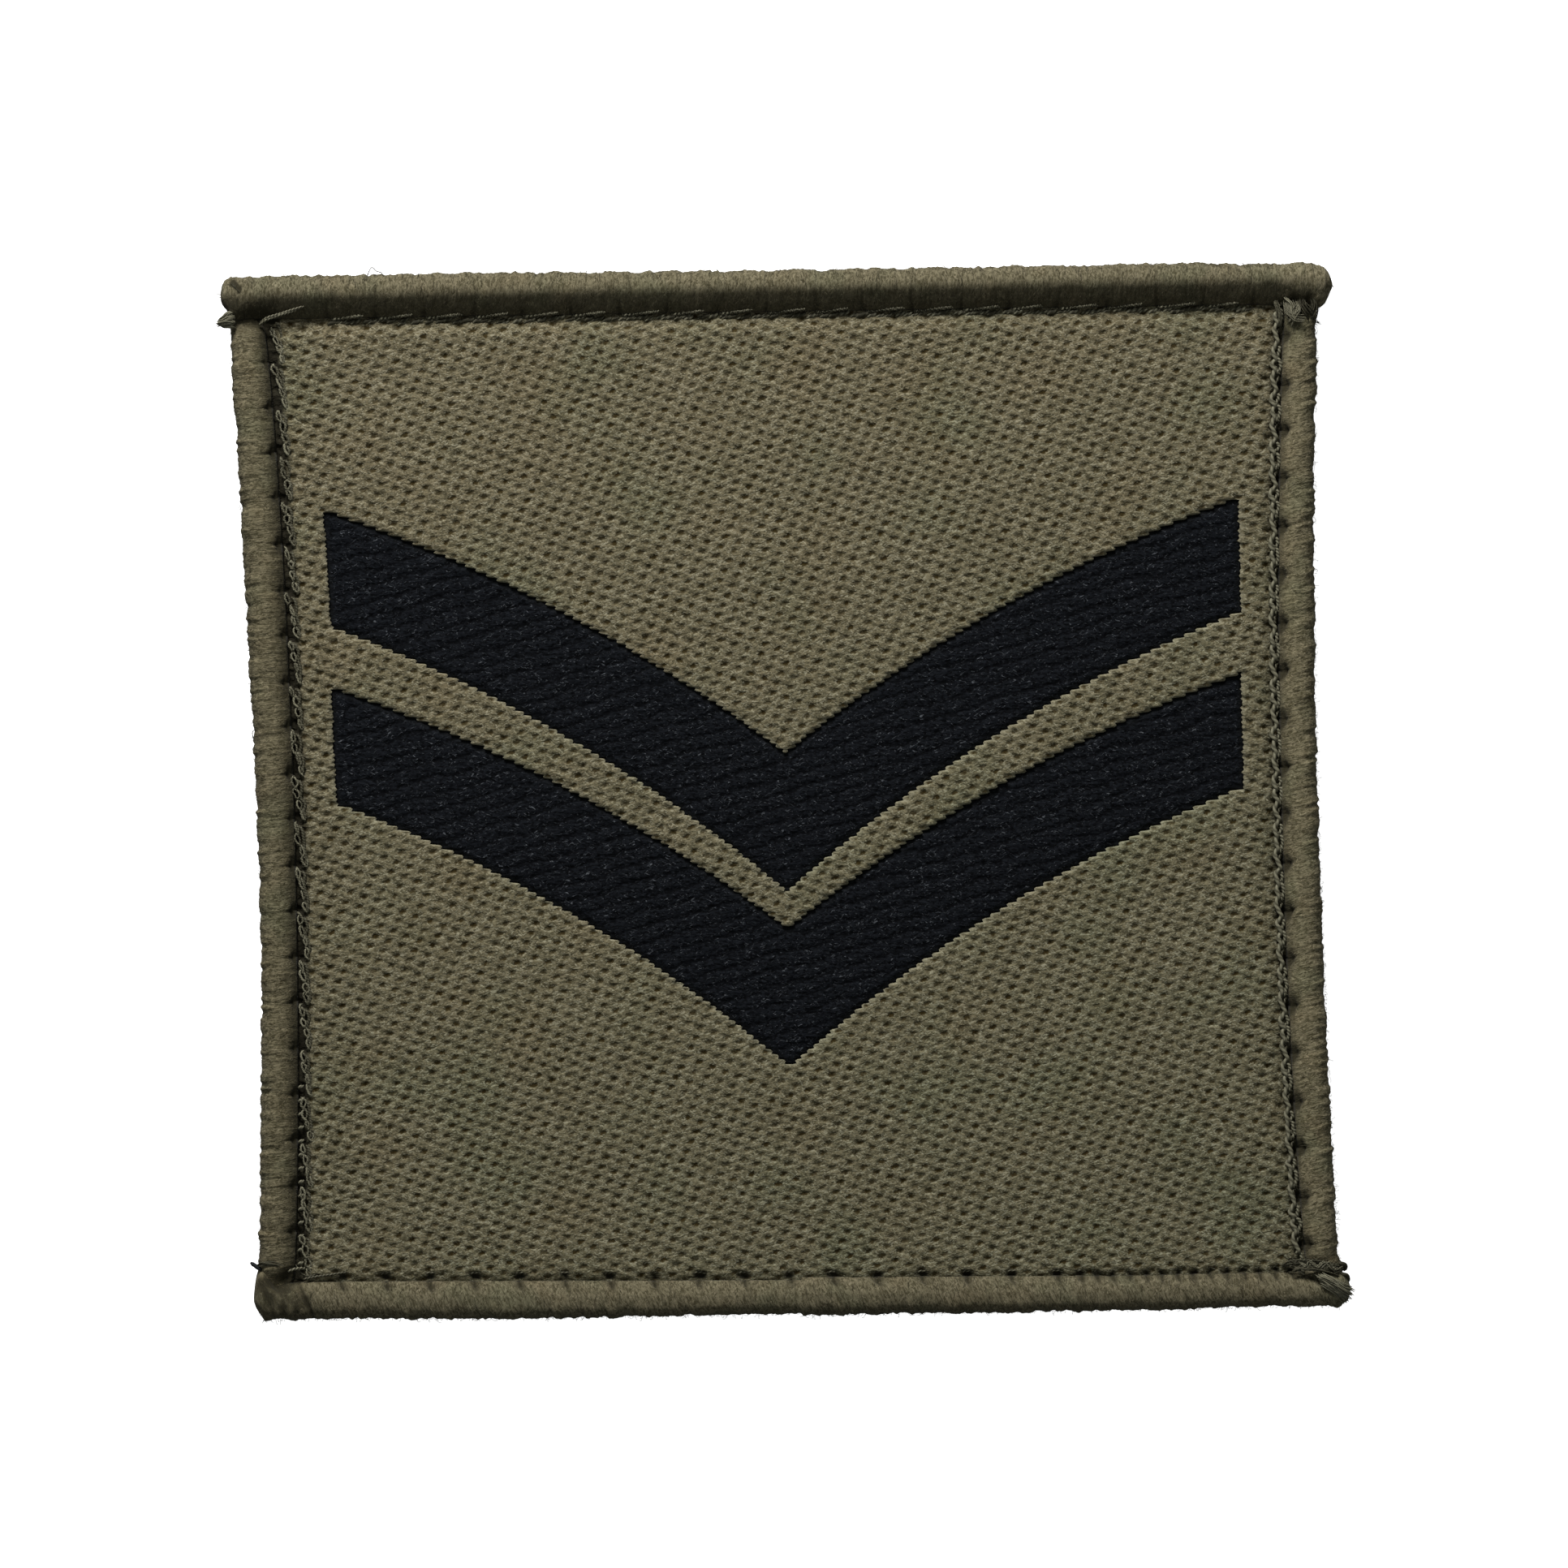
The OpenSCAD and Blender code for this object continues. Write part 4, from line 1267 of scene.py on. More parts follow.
def make_side_seam(side, size, material):
    """The chain seam in the groove beside a side roll."""
    seam, cloth = size.seam, size.cloth
    rng = np.random.default_rng(seam.seed + side)
    pile = Pile()

    def at(y, off, z):
        """The point at height y, a distance off the seam's middle and a height above the back."""
        x = edge_x(side, y, cloth) - side * (seam_inset(side, y) + off)
        return (float(x), float(y), float(z))

    def lay(rows, hole, jitter=0.035):
        """Points of a strand from rows of distance below a needle hole, off and rise."""
        return [
            at(hole - below + rng.normal(0, jitter), off + rng.normal(0, jitter), SEAM_LEVEL + rise)
            for below, off, rise in rows
        ]

    def right_chain(hole):
        """Adds the small strands at a needle hole and gives the main thread's points there."""
        route = lay(RIGHT_MAIN_STRAND, hole)
        for rows, thick, tone in RIGHT_SMALL_STRANDS:
            add_strand(
                pile, lay(rows, hole), seam, radius=seam.radius * thick, tone=tone,
                twist=0.5, ply=0.24,
            )
        return [point for point in route if abs(point[1]) < SEAM_REACHES[RIGHT]]

    def left_link(top, step, k, hand, middle, wide):
        """Adds one half of link number k under a needle hole, on one hand of the link's middle."""
        over = 0.09 if (k + (hand > 0)) % 2 else 0.0
        begin, stop = rng.uniform(-0.25, 0.1), rng.uniform(0.95, 1.25)
        points = []
        for part, swing, rise in (
            (0.0, -0.5, -0.2), (0.12, 0.3, 0.02), (0.36, 1.0, 0.08),
            (0.66, 0.9, 0.08), (0.9, 0.1, over), (1.0, -0.5, -0.15),
        ):
            part = begin + (stop - begin) * part
            off = middle + 0.15 * part + hand * wide * swing + rng.normal(0, 0.025)
            points.append(at(top - step * (k + part), off, LINK_LEVEL + rise))
        add_strand(
            pile, points, seam, radius=seam.radius * rng.uniform(0.55, 0.85),
            tone=rng.uniform(-0.25, 0.25) - 0.15 * (hand > 0), twist=0.36, ply=0.32,
        )

    holes = stitch_heights(side, seam)
    holes = np.concatenate([[holes[0] + abs(holes[1] - holes[0])], holes])
    if side == RIGHT:
        route = [point for hole in holes for point in right_chain(hole)]
        add_strand(pile, route, seam, radius=seam.radius * 1.5, twist=0.9, ply=0.12)
        name = "right_chain_seam"
    else:
        # Small links from each needle hole down to the next, drifting away from the roll
        for hole in holes:
            top = min(hole - 0.30, SEAM_REACHES[LEFT])
            step = (top - hole + seam.left_stitch + 0.15) / 4
            for k in range(4):
                middle, wide = -0.18 + 0.15 * k + rng.normal(0, 0.045), rng.uniform(0.09, 0.18)
                for hand in (-1, 1):
                    left_link(top, step, k, hand, middle, wide)
            dull = lay(LEFT_DULL_STRAND, hole, 0.04)
            add_strand(pile, dull, seam, radius=seam.radius * 1.05, tone=-0.45, twist=0.4, ply=0.26)
        for y in np.arange(-19.6, SIDE_SEAM_END, -0.92):
            dash = [at(y - below, off, z) for below, off, z in LEFT_DASH]
            add_strand(pile, dash, seam, radius=seam.radius * 0.95, tone=0.2)
        name = "left_chain_seam"
    return add_piece(name, pile.mesh(name), material)


def make_end_seam(roll, size, material):
    """The lock seam along the inner side of the top or bottom roll."""
    seam = size.seam
    rng = np.random.default_rng(seam.seed + 7 + roll.number)
    pile = Pile()

    def strand(rows, thick, tone, twist=0.6, ply=0.2):
        """Adds a strand through rows of place along the roll, distance in and rise above it."""
        points = []
        for x, u, rise in rows:
            z = max(float(roll.top(x, u)), 1.9) if u < roll.width else 1.9
            points.append((float(x), float(roll.outer + roll.inward * u), float(z + rise)))
        add_strand(pile, points, seam, radius=seam.radius * thick, tone=tone, twist=twist, ply=ply)

    def top_stitch(a, b):
        """Adds a long dash of the top seam, beads on most of them, and short dashes beneath."""
        begin = a + 0.15 + rng.uniform(0, 0.2)
        end = begin + 2.3 * rng.uniform(0.85, 1.08)
        strand((
            (begin - 0.15, 3.06, -0.2), (begin, 3.04, 0.02), (begin + 0.6, 2.98, 0.07),
            (end - 0.6, 2.9, 0.07), (end, 2.84, 0.03), (end + 0.12, 2.8, -0.2),
        ), 1.0, -0.32, 0.3, 0.45)
        if rng.uniform() < 0.75:
            for bead in np.arange(begin + 0.1, end - 0.25, 0.27) + rng.normal(0, 0.02):
                low = 3.04 - 0.2 * (bead - begin) / (end - begin)
                strand((
                    (bead, low + 0.06, -0.02), (bead + 0.05, low + 0.02, 0.1),
                    (bead + 0.12, low - 0.03, 0.1), (bead + 0.17, low - 0.07, -0.02),
                ), 0.85, rng.uniform(-0.3, 0.1))
        for start in np.arange(a, b - 0.1, 0.47):
            start, low = start + rng.normal(0, 0.11), 3.26 + rng.normal(0, 0.06)
            strand((
                (start - 0.12, low + 0.12, -0.22), (start, low + 0.07, -0.08),
                (start + 0.25, low - 0.01, -0.03), (start + 0.45, low - 0.10, -0.05),
                (start + 0.56, low - 0.15, -0.2),
            ), rng.uniform(0.8, 1.5), rng.uniform(-0.6, -0.1), 0.9, 0.14)

    def bottom_stitch(hole, loop):
        """Adds a loop over a needle hole of the bottom seam."""
        feet, shoulders, low, middle, high, thick, tone = loop
        edge = roll.width + bottom_taper(hole)
        strand((
            (hole - feet, edge + low, -0.15), (hole - shoulders, edge + middle, 0.03),
            (hole, edge + high, 0.06), (hole + shoulders, edge + middle, 0.03),
            (hole + feet, edge + low, -0.15),
        ), thick, tone)

    holes = end_holes(roll.name, seam)
    for a, b in zip(holes, holes[1:]):
        if roll.is_top:
            top_stitch(a, b)
        else:
            bottom_stitch(b, DENSE_LOOP if b - a < 2 else WIDE_LOOP)
    name = "top_lock_seam" if roll.is_top else "bottom_lock_seam"
    return add_piece(name, pile.mesh(name), material)


# Loose threads at the corners and edges: radius, how many fibres, spread, tone, points along
# the thread
TAILS = (
    (0.085, 3, 0.07, -0.3, (
     (-35.2, 32.1, 2.2), (-34.5, 32.55, 2.75), (-33.4, 32.95, 2.72), (-32.3, 33.25, 2.85),
     (-31.3, 33.55, 2.95))),
    (0.04, 60, 0.1, 0, (
     (-36.9, 32.95, 2.4), (-37.3, 32.85, 2.5), (-37.7, 32.5, 2.4), (-37.9, 32.35, 2.2))),
    (0.04, 60, 0.1, 0, (
     (-36.9, 32.6, 2.4), (-37.3, 32.6, 2.5), (-37.75, 32.4, 2.4), (-38, 32.28, 2.2))),
    (0.04, 60, 0.1, 0, (
     (-36.9, 32.25, 2.4), (-37.3, 32.3, 2.5), (-37.8, 32.26, 2.4), (-38.05, 32.2, 2.2))),
    (0.04, 40, 0.09, 0, (
     (-36.9, 31.95, 2.3), (-37.2, 32, 2.4), (-37.6, 32.1, 2.3), (-37.9, 32.18, 2.1))),
    (0.02, 12, 0.14, -0.2, ((-36.9, 34.2, 2.6), (-37.5, 34.15, 2.2), (-38.05, 34.05, 1.8))),
    (0.03, 7, 0.05, -0.5, ((-36.5, 34.3, 2.9), (-36.9, 34.8, 2.7), (-37.1, 35.15, 2.2))),
    (0.02, 14, 0.14, -0.2, ((36, 31.5, 2.3), (36.3, 31.2, 2.2), (36.65, 31, 1.9))),
    (0.045, 30, 0.13, 0.05, (
     (34.1, 33.35, 1.9), (34.3, 32.85, 2.5), (34.65, 32.3, 2.75), (34.8, 31.6, 2.9),
     (35, 31.1, 2.8))),
    # Painted shade: the next two tufts at the top right corner are darkened to stand for thread
    # ends in shadow
    (0.04, 22, 0.14, -0.5, (
     (34.9, 33.4, 1.9), (35.4, 32.9, 2.5), (35.5, 32.3, 2.85), (35.9, 31.7, 2.85),
     (36.2, 31.3, 2.5))),
    (0.04, 22, 0.14, -0.45, (
     (35.6, 33.4, 1.9), (36, 33, 2.45), (36.3, 32.5, 2.65), (36.3, 32, 2.6), (36.1, 31.4, 2.6))),
    (0.04, 20, 0.1, -0.2, (
     (33.6, 32.7, 2.3), (33.75, 32.3, 2.3), (33.9, 31.7, 2.25), (34, 31, 2.15))),
    (0.04, 26, 0.15, -0.15, (
     (34.4, 32.7, 2.2), (34.35, 31.9, 2.7), (34.8, 31.4, 2.9), (35.5, 31.3, 2.9))),
    (0.04, 20, 0.14, -0.1, (
     (35, 32.8, 2.2), (35.2, 32, 2.8), (34.9, 31.5, 2.95), (34.6, 30.9, 2.85))),
    (0.02, 10, 0.12, -0.1, ((37, 34.1, 2.4), (37.4, 33.8, 2), (37.68, 33.55, 1.6))),
    (0.06, 1, 0, -0.5, (
     (-33.7, -31.6, 2), (-33.4, -32.1, 2.2), (-32.9, -32.4, 2.2), (-32.3, -32.3, 2.1),
     (-31.6, -32.2, 2))),
    (0.09, 1, 0, -0.1, (
     (-34.2, -32.05, 2.5), (-33.8, -31.9, 2.55), (-33.3, -31.85, 2.3), (-33, -31.95, 2))),
    (0.075, 1, 0, -0.4, (
     (-33.2, -32.6, 2.3), (-32.4, -32.45, 2.25), (-31.2, -32.3, 2.2), (-30.2, -32.15, 2.1),
     (-29.4, -32.05, 1.95))),
    (0.03, 14, 0.12, -0.3, (
     (-36.3, -31.7, 2.2), (-35.9, -31.5, 2.5), (-35.2, -31.45, 2.75), (-34.5, -31.6, 2.7))),
    (0.06, 12, 0.12, -0.42, (
     (33.2, -32.7, 2.3), (33.8, -32.45, 2.6), (34.6, -32.35, 2.85), (35.6, -32.3, 2.9),
     (36.6, -32.5, 2.6), (37.4, -32.75, 2))),
    (0.06, 12, 0.12, -0.5, (
     (33.9, -33, 2.8), (34.5, -32.75, 2.9), (35.4, -32.8, 3), (36.3, -33, 2.9), (37.1, -33.3, 2.5),
     (37.6, -33.75, 1.8))),
    (0.06, 6, 0.08, -0.2, (
     (34.2, -32.3, 2.7), (34.8, -32.75, 3), (35.2, -32.4, 3), (35.8, -32.9, 3.05),
     (36.4, -32.5, 2.8), (36.9, -33.1, 2.7), (37.5, -32.8, 2))),
    (0.16, 1, 0, -0.6, (
     (37, -32.55, 2.2), (37.38, -32.68, 1.9), (37.46, -32.95, 1.6), (37.2, -33, 1.7))),
    (0.15, 1, 0, -0.6, (
     (37.1, -33.3, 2.2), (37.5, -33.4, 1.9), (37.65, -33.75, 1.5), (37.3, -33.9, 1.6))),
    (0.035, 130, 0.19, 0.25, (
     (35.7, -33.4, 2.9), (36.5, -33.75, 3), (37.2, -34.2, 2.7), (37.85, -34.6, 2.1))),
    (0.035, 130, 0.19, 0.15, (
     (35.9, -33.75, 2.85), (36.5, -34.15, 2.9), (37.1, -34.6, 2.5), (37.55, -34.95, 1.8))),
    (0.02, 8, 0.12, -0.4, ((-35.6, -35.1, 1.4), (-35.7, -35.35, 1.1), (-35.9, -35.4, 0.9))),
)

# Dark stray fibres: radius, points along the fibre
STRAYS = (
    (0.03, (
        (-27.9, 35.2, 2.2), (-27.55, 35.86, 2.3), (-27.2, 35.6, 2.4), (-26.9, 35.52, 2.3),
        (-26.7, 35.2, 2.4),
    )),
    (0.03, ((-35.9, 4.7, 2.3), (-36.1, 4.5, 1.9), (-36.05, 4.1, 1.7), (-35.8, 3.8, 2.1))),
    (0.15, ((-36.0, -31.95, 2.2), (-36.35, -31.7, 2.2), (-36.75, -31.42, 2.15))),
)


def make_tails(size, light, dark):
    """Thread tails, tufts and stray fibres at the corners and edges."""
    rng = np.random.default_rng(size.seam.seed + 50)
    pile = Pile()
    for radius, count, spread, tone, points in TAILS:
        points = np.array(points)
        for _ in range(count):
            fan = np.linspace(0.65, 1, len(points))[:, None] * rng.normal(0, spread, 3)
            wild = rng.normal(0, spread * 0.35, points.shape)
            route = points
            if count > 1:
                stop = rng.uniform(0.6, 1.0)
                route = points[:1] * (1 - stop) + (points + (fan + wild)) * stop
            add_strand(
                pile, route, size.seam, radius=radius, tone=tone, sides=8 if radius > 0.06 else 4,
                twist=1.3 if radius > 0.12 else 0.5, ply=0.2 if 0.055 < radius < 0.12 else 0.08,
            )
    tails = add_piece("corner_threads", pile.mesh("corner_threads"), light)
    pile = Pile()
    for radius, points in STRAYS:
        add_strand(pile, points, size.seam, radius=radius, sides=7, ply=0.05)
    strays = add_piece("stray_fibres", pile.mesh("stray_fibres"), dark)
    return tails, strays


class Shade:
    """Adds and joins the nodes of one material."""

    def __init__(self, name):
        """Starts a material that has its shader only."""
        self.material = bpy.data.materials.new(name)
        self.material.use_nodes = True
        self.nodes = self.material.node_tree.nodes
        self.links = self.material.node_tree.links
        self.shader = self.nodes["Principled BSDF"]

    def put(self, socket, value):
        """Links a socket to another one, or sets its value."""
        if isinstance(value, bpy.types.NodeSocket):
            self.links.new(value, socket)
        else:
            socket.default_value = value

    def node(self, kind, **inputs):
        """A new node with values for its inputs by name."""
        node = self.nodes.new("ShaderNode" + kind)
        for name, value in inputs.items():
            self.put(node.inputs[name.replace("_", " ")], value)
        return node

    def math(self, operation, *values):
        """The result of one step of arithmetic."""
        node = self.node("Math")
        node.operation = operation
        for socket, value in zip(node.inputs, values):
            self.put(socket, value)
        return node.outputs[0]

    def add(self, a, b):
        """a + b."""
        return self.math("ADD", a, b)

    def less(self, a, b):
        """a - b."""
        return self.math("SUBTRACT", a, b)

    def times(self, a, b):
        """a * b."""
        return self.math("MULTIPLY", a, b)

    def times_add(self, a, b, c):
        """a * b + c."""
        return self.math("MULTIPLY_ADD", a, b, c)

    def more_of(self, a, b):
        """The larger of a and b."""
        return self.math("MAXIMUM", a, b)

    def less_of(self, a, b):
        """The smaller of a and b."""
        return self.math("MINIMUM", a, b)

    def centred(self, value):
        """Noise that goes from 0 to 1, moved down to lie about 0."""
        return self.less(value, 0.5)

    def value(self, name):
        """A named point value, as its three numbers."""
        node = self.node("Attribute")
        node.attribute_name = name
        return self.node("SeparateXYZ", Vector=node.outputs["Vector"]).outputs[:]

    def place(self):
        """Place on the patch in millimetres, as three numbers."""
        split = self.node("SeparateXYZ", Vector=self.node("TexCoord").outputs["Object"])
        return [self.times(socket, 1 / MM) for socket in split.outputs]

    def turned(self, x, y, lean, run_scale, off_scale):
        """Places along and across a line that leans up to the right, each with a scale."""
        c, s = math.cos(lean), math.sin(lean)
        run = self.add(self.times(x, run_scale * c), self.times(y, run_scale * s))
        off = self.less(self.times(y, off_scale * c), self.times(x, off_scale * s))
        return run, off

    def vector(self, x, y, z=0.0):
        """Three numbers as one place."""
        return self.node("CombineXYZ", X=x, Y=y, Z=z).outputs[0]

    def noise(self, vector, scale, detail=1.0, rough=0.5, twist=0.0):
        """Smooth noise from 0 to 1."""
        return self.node(
            "TexNoise", Vector=vector, Scale=scale, Detail=detail, Roughness=rough, Distortion=twist
        ).outputs["Fac"]

    def random(self, vector):
        """A number from 0 to 1 that only equal places share."""
        return self.node("TexWhiteNoise", Vector=vector).outputs["Value"]

    def step(self, value, low, high):
        """A smooth step from 0 at low to 1 at high."""
        node = self.node("MapRange", Value=value, From_Min=low, From_Max=high)
        node.interpolation_type = "SMOOTHSTEP"
        return node.outputs["Result"]

    def mix(self, factor, a, b, kind="MIX"):
        """Colour a where factor is 0 and b, or a times b, where it is 1."""
        node = self.node("Mix")
        node.data_type = "RGBA"
        node.blend_type = kind
        self.put(node.inputs["Factor"], factor)
        for socket, value in zip([s for s in node.inputs if s.type == "RGBA"], (a, b)):
            self.put(socket, (*value, 1) if isinstance(value, tuple) else value)
        return [s for s in node.outputs if s.type == "RGBA"][0]

    def tint(self, factor, colour, tint):
        """A colour that is multiplied by a tint, the more so the larger the factor."""
        return self.mix(factor, colour, tint, "MULTIPLY")

    def finish(self, colour, height, strength, distance, **settings):
        """Joins colour and relief to the shader and sets its plain values."""
        bump = self.node("Bump", Height=height, Strength=strength, Distance=distance * MM)
        self.put(self.shader.inputs["Normal"], bump.outputs["Normal"])
        self.put(self.shader.inputs["Base Color"], colour)
        for name, value in settings.items():
            self.put(self.shader.inputs[name.replace("_", " ")], value)
        return self.material


def blotches(shade, x, y, colour, width=8.0):
    """Faint green and brown patches some millimetres wide."""
    green = shade.step(shade.noise(shade.vector(x, y), 1 / width, 1.5), 0.48, 0.72)
    shifted = shade.vector(shade.add(x, 90.0), y)
    brown = shade.step(shade.noise(shifted, 1 / (width * 0.8), 1.5), 0.5, 0.74)
    colour = shade.tint(shade.times(green, 0.5), colour, GREENISH)
    return shade.tint(shade.times(brown, 0.35), colour, BROWNISH)


def fibres(shade, x, y, lean, low, high, shift=0.0):
    """Short fibres that run at an angle to the right, from 0 between them to 1 on them."""
    run, off = shade.turned(x, y, lean, 3.2, 9.0)
    spot = shade.vector(run, off, shift + 5 * lean)
    return shade.step(shade.noise(spot, 1.0, 1.0, 0.6, 0.8), low, high)


def hollows(shade, alpha, beta, fine, weave):
    """The slanting hollows where the warp binds the weft, as a mask for the dark warp and the
    painted shade in them.
    """
    whole = [shade.math("ROUND", v) for v in (alpha, beta)]
    part = [shade.less(v, w) for v, w in zip((alpha, beta), whole)]
    long_step, short_step = binding_axes(weave)
    dx, dy = (
        shade.add(shade.times(part[0], float(a)), shade.times(part[1], float(b)))
        for a, b in zip(long_step, short_step)
    )
    run, off = shade.turned(
        dx, dy, weave.dip_rise, 1 / (1.05 * weave.dip_long), 1 / (1.05 * weave.dip_wide)
    )
    far = shade.math("SQRT", shade.add(shade.times(run, run), shade.times(off, off)))
    far = shade.add(far, shade.times(shade.centred(fine), 2.0))
    power = shade.times_add(shade.random(shade.vector(*whole)), 0.45, 0.6)
    return shade.times(shade.step(far, 1.25, 0.4), power)


def olive_cloth(colours, weave):
    """Olive satin: light weft floats and dark slanting hollows where the warp binds them, with
    painted shade and painted highlights.
    """
    shade = Shade("olive_satin")
    alpha, beta, mark = shade.value("weave")
    rim = shade.more_of(shade.times(mark, -1.0), 0.0)
    dark = shade.less_of(shade.more_of(mark, 0.0), 1.0)
    x, y, _ = shade.place()
    spot = shade.vector(x, y)
    hollow = hollows(shade, alpha, beta, shade.noise(spot, 5.5, 2.0), weave)
    hollow = shade.times(hollow, shade.less(1.0, rim))

    tilt = shade.times_add(x, -0.12, y)
    stretched = shade.vector(shade.times(x, 2.8), shade.times(tilt, 7.0))
    fibre = shade.noise(stretched, 1.0, 2.0, 0.6, 0.9)
    grain = shade.noise(spot, 4.2, 1.5, 0.6)
    tone = shade.add(shade.step(fibre, 0.34, 0.64), shade.times(shade.centred(grain), 1.5))
    base = shade.mix(tone, colours.olive_deep, colours.olive)
    # Painted highlights: short fibres that catch the light and, through the rim value, the float
    # ends along the chevrons' edges
    light = shade.more_of(
        fibres(shade, x, y, 0.35, 0.57, 0.66), fibres(shade, x, y, -0.6, 0.60, 0.68)
    )
    light = shade.more_of(shade.times(light, 0.7), shade.times(rim, 0.45))
    base = shade.mix(light, base, colours.olive_light)
    shadow = fibres(shade, x, y, 0.1, 0.58, 0.70, 31.0)
    base = shade.mix(shade.times(shadow, 0.45), base, colours.olive_deep)
    base = blotches(shade, x, y, base)
    # Painted tint of the light: the cloth is a little cooler towards its lower right, where the key
    # light falls off
    cool = shade.times_add(x, 0.006, shade.times_add(y, -0.014, 0.45))
    base = shade.tint(cool, base, COOLER)
    # The hollows: the dark warp, with painted shade in them
    base = shade.mix(hollow, base, colours.binding)
    # Painted shade in the seams' grooves and needle holes
    base = shade.mix(dark, base, colours.groove)
    height = shade.less(shade.times_add(fibre, 0.6, grain), hollow)
    return shade.finish(
        base, height, 0.7, 0.1, Roughness=0.86, Specular_IOR_Level=0.14,
        Sheen_Weight=0.03, Sheen_Roughness=0.5,
    )


def black_weft(colours):
    """Black weft with faint rows and small painted glints, plainer and with painted shade along its
    edges.
    """
    shade = Shade("black_satin")
    row, _, rim = shade.value("weave")
    x, y, _ = shade.place()
    spot = shade.vector(x, y)
    # Painted glints: short grey fibres that catch the light, in groups, fewer on the rows and along
    # the edges
    glint = shade.more_of(
        fibres(shade, x, y, 0.5, 0.62, 0.78), fibres(shade, x, y, -0.4, 0.63, 0.78)
    )
    group = shade.step(shade.noise(spot, 1.3, 2.0), 0.35, 0.62)
    glint = shade.times(glint, shade.times_add(group, 0.75, 0.25))
    row = shade.add(row, shade.times_add(shade.noise(spot, 2.4, 1.0), 0.7, -0.35))
    line = shade.step(shade.math("PINGPONG", row, 0.5), 0.17, 0.02)
    glint = shade.times(glint, shade.less(1.0, shade.more_of(rim, shade.times(line, 0.7))))
    fine = shade.noise(shade.vector(x, shade.times(y, 2.2)), 3.1, 2.0, 0.6, 0.7)
    dark = tuple(0.16 * c for c in colours.black)
    base = shade.mix(shade.step(fine, 0.3, 0.65), dark, colours.black)
    base = shade.mix(shade.times(line, 0.75), base, dark)
    # Painted shade along the chevrons' edges
    base = shade.mix(shade.times(rim, 0.5), base, colours.black_rim)
    base = shade.mix(shade.times(glint, 0.8), base, colours.glint)
    height = shade.add(fine, glint)
    return shade.finish(base, height, 0.6, 0.1, Roughness=0.8, Specular_IOR_Level=0.03)


def edge_thread(colours):
    """Soft olive thread wound across the rolls: fine uneven streaks, painted shade on the shadow
    sides, in valleys, creases and stitch hollows, and painted highlights on hairs.
    """
    shade = Shade("wound_thread")
    s, t, dark = shade.value("thread")
    x, y, z = shade.place()
    stretched = shade.vector(shade.times(s, 7.5), shade.times(t, 2.4))
    streak = shade.noise(stretched, 1.0, 2.5, 0.65, 0.7)
    mottle = shade.noise(shade.vector(s, t), 2.2, 2.0)
    grain = shade.noise(shade.vector(x, y, z), 4.6, 2.0, 0.7, 0.5)
    hair = shade.noise(shade.vector(shade.times(s, 16.0), shade.times(t, 3.0)), 1.0, 1.0)
    tone = shade.times_add(shade.centred(mottle), 1.3, shade.step(streak, 0.33, 0.66))
    tone = shade.times_add(shade.centred(grain), 1.9, tone)
    base = shade.mix(tone, colours.edge_deep, colours.edge)
    # Painted highlights on hairs and short fibres
    light = shade.more_of(shade.step(hair, 0.62, 0.8), fibres(shade, x, y, 0.9, 0.60, 0.72))
    light = shade.more_of(light, fibres(shade, x, y, -0.8, 0.62, 0.72))
    base = shade.mix(shade.times(light, 0.55), base, colours.edge_light)
    base = blotches(shade, x, y, base, 3.0)
    # Painted shade and light: the end rolls are a little duller and the right roll is brighter, to
    # even out how the key light falls on them
    base = shade.tint(shade.step(shade.math("ABSOLUTE", y), 32.4, 33.4), base, DULLER)
    base = shade.tint(shade.step(x, 33.2, 34.6), base, BRIGHTER)
    # Painted shade from the rolls' dark value, given a ragged edge and mixed towards the crease
    # colour
    ragged = shade.times(shade.less(shade.add(streak, grain), 1.0), 1.8)
    some = shade.less_of(shade.times(dark, 2.5), 1.0)
    dark = shade.more_of(shade.times_add(ragged, some, dark), 0.0)
    base = shade.mix(shade.less_of(shade.times(dark, 0.85), 0.92), base, colours.crease)
    height = shade.times_add(streak, 1.0, shade.times(hair, 0.5))
    return shade.finish(
        base, height, 0.7, 0.1, Roughness=0.92, Specular_IOR_Level=0.1,
        Sheen_Weight=0.03, Sheen_Roughness=0.6,
    )


def seam_thread(name, light, deep):
    """Twisted thread with a slight sheen, darker between its plies."""
    shade = Shade(name)
    far, turn, ply = shade.value("thread")
    z = shade.place()[2]
    spot = shade.vector(shade.times(far, 6.0), shade.times(turn, 2.0), z)
    fibre = shade.noise(spot, 1.0, 2.0)
    tone = shade.times(shade.step(ply, 0.0, 0.8), shade.times_add(fibre, 0.9, 0.5))
    base = shade.mix(tone, deep, light)
    return shade.finish(base, fibre, 0.3, 0.04, Roughness=0.65, Specular_IOR_Level=0.2)


def floor_finish(colours, stage):
    """Pale floor with a slight glow of its own, so that shadows on it stay faint."""
    shade = Shade("floor")
    x, y, _ = shade.place()
    fine = shade.noise(shade.vector(x, y), 0.02, 2.0)
    base = shade.mix(fine, tuple(0.985 * c for c in colours.floor), colours.floor)
    shade.put(shade.shader.inputs["Emission Color"], (1, 1, 1, 1))
    return shade.finish(
        base, fine, 0.02, 1.0, Roughness=0.95, Specular_IOR_Level=0.0,
        Emission_Strength=stage.glow,
    )


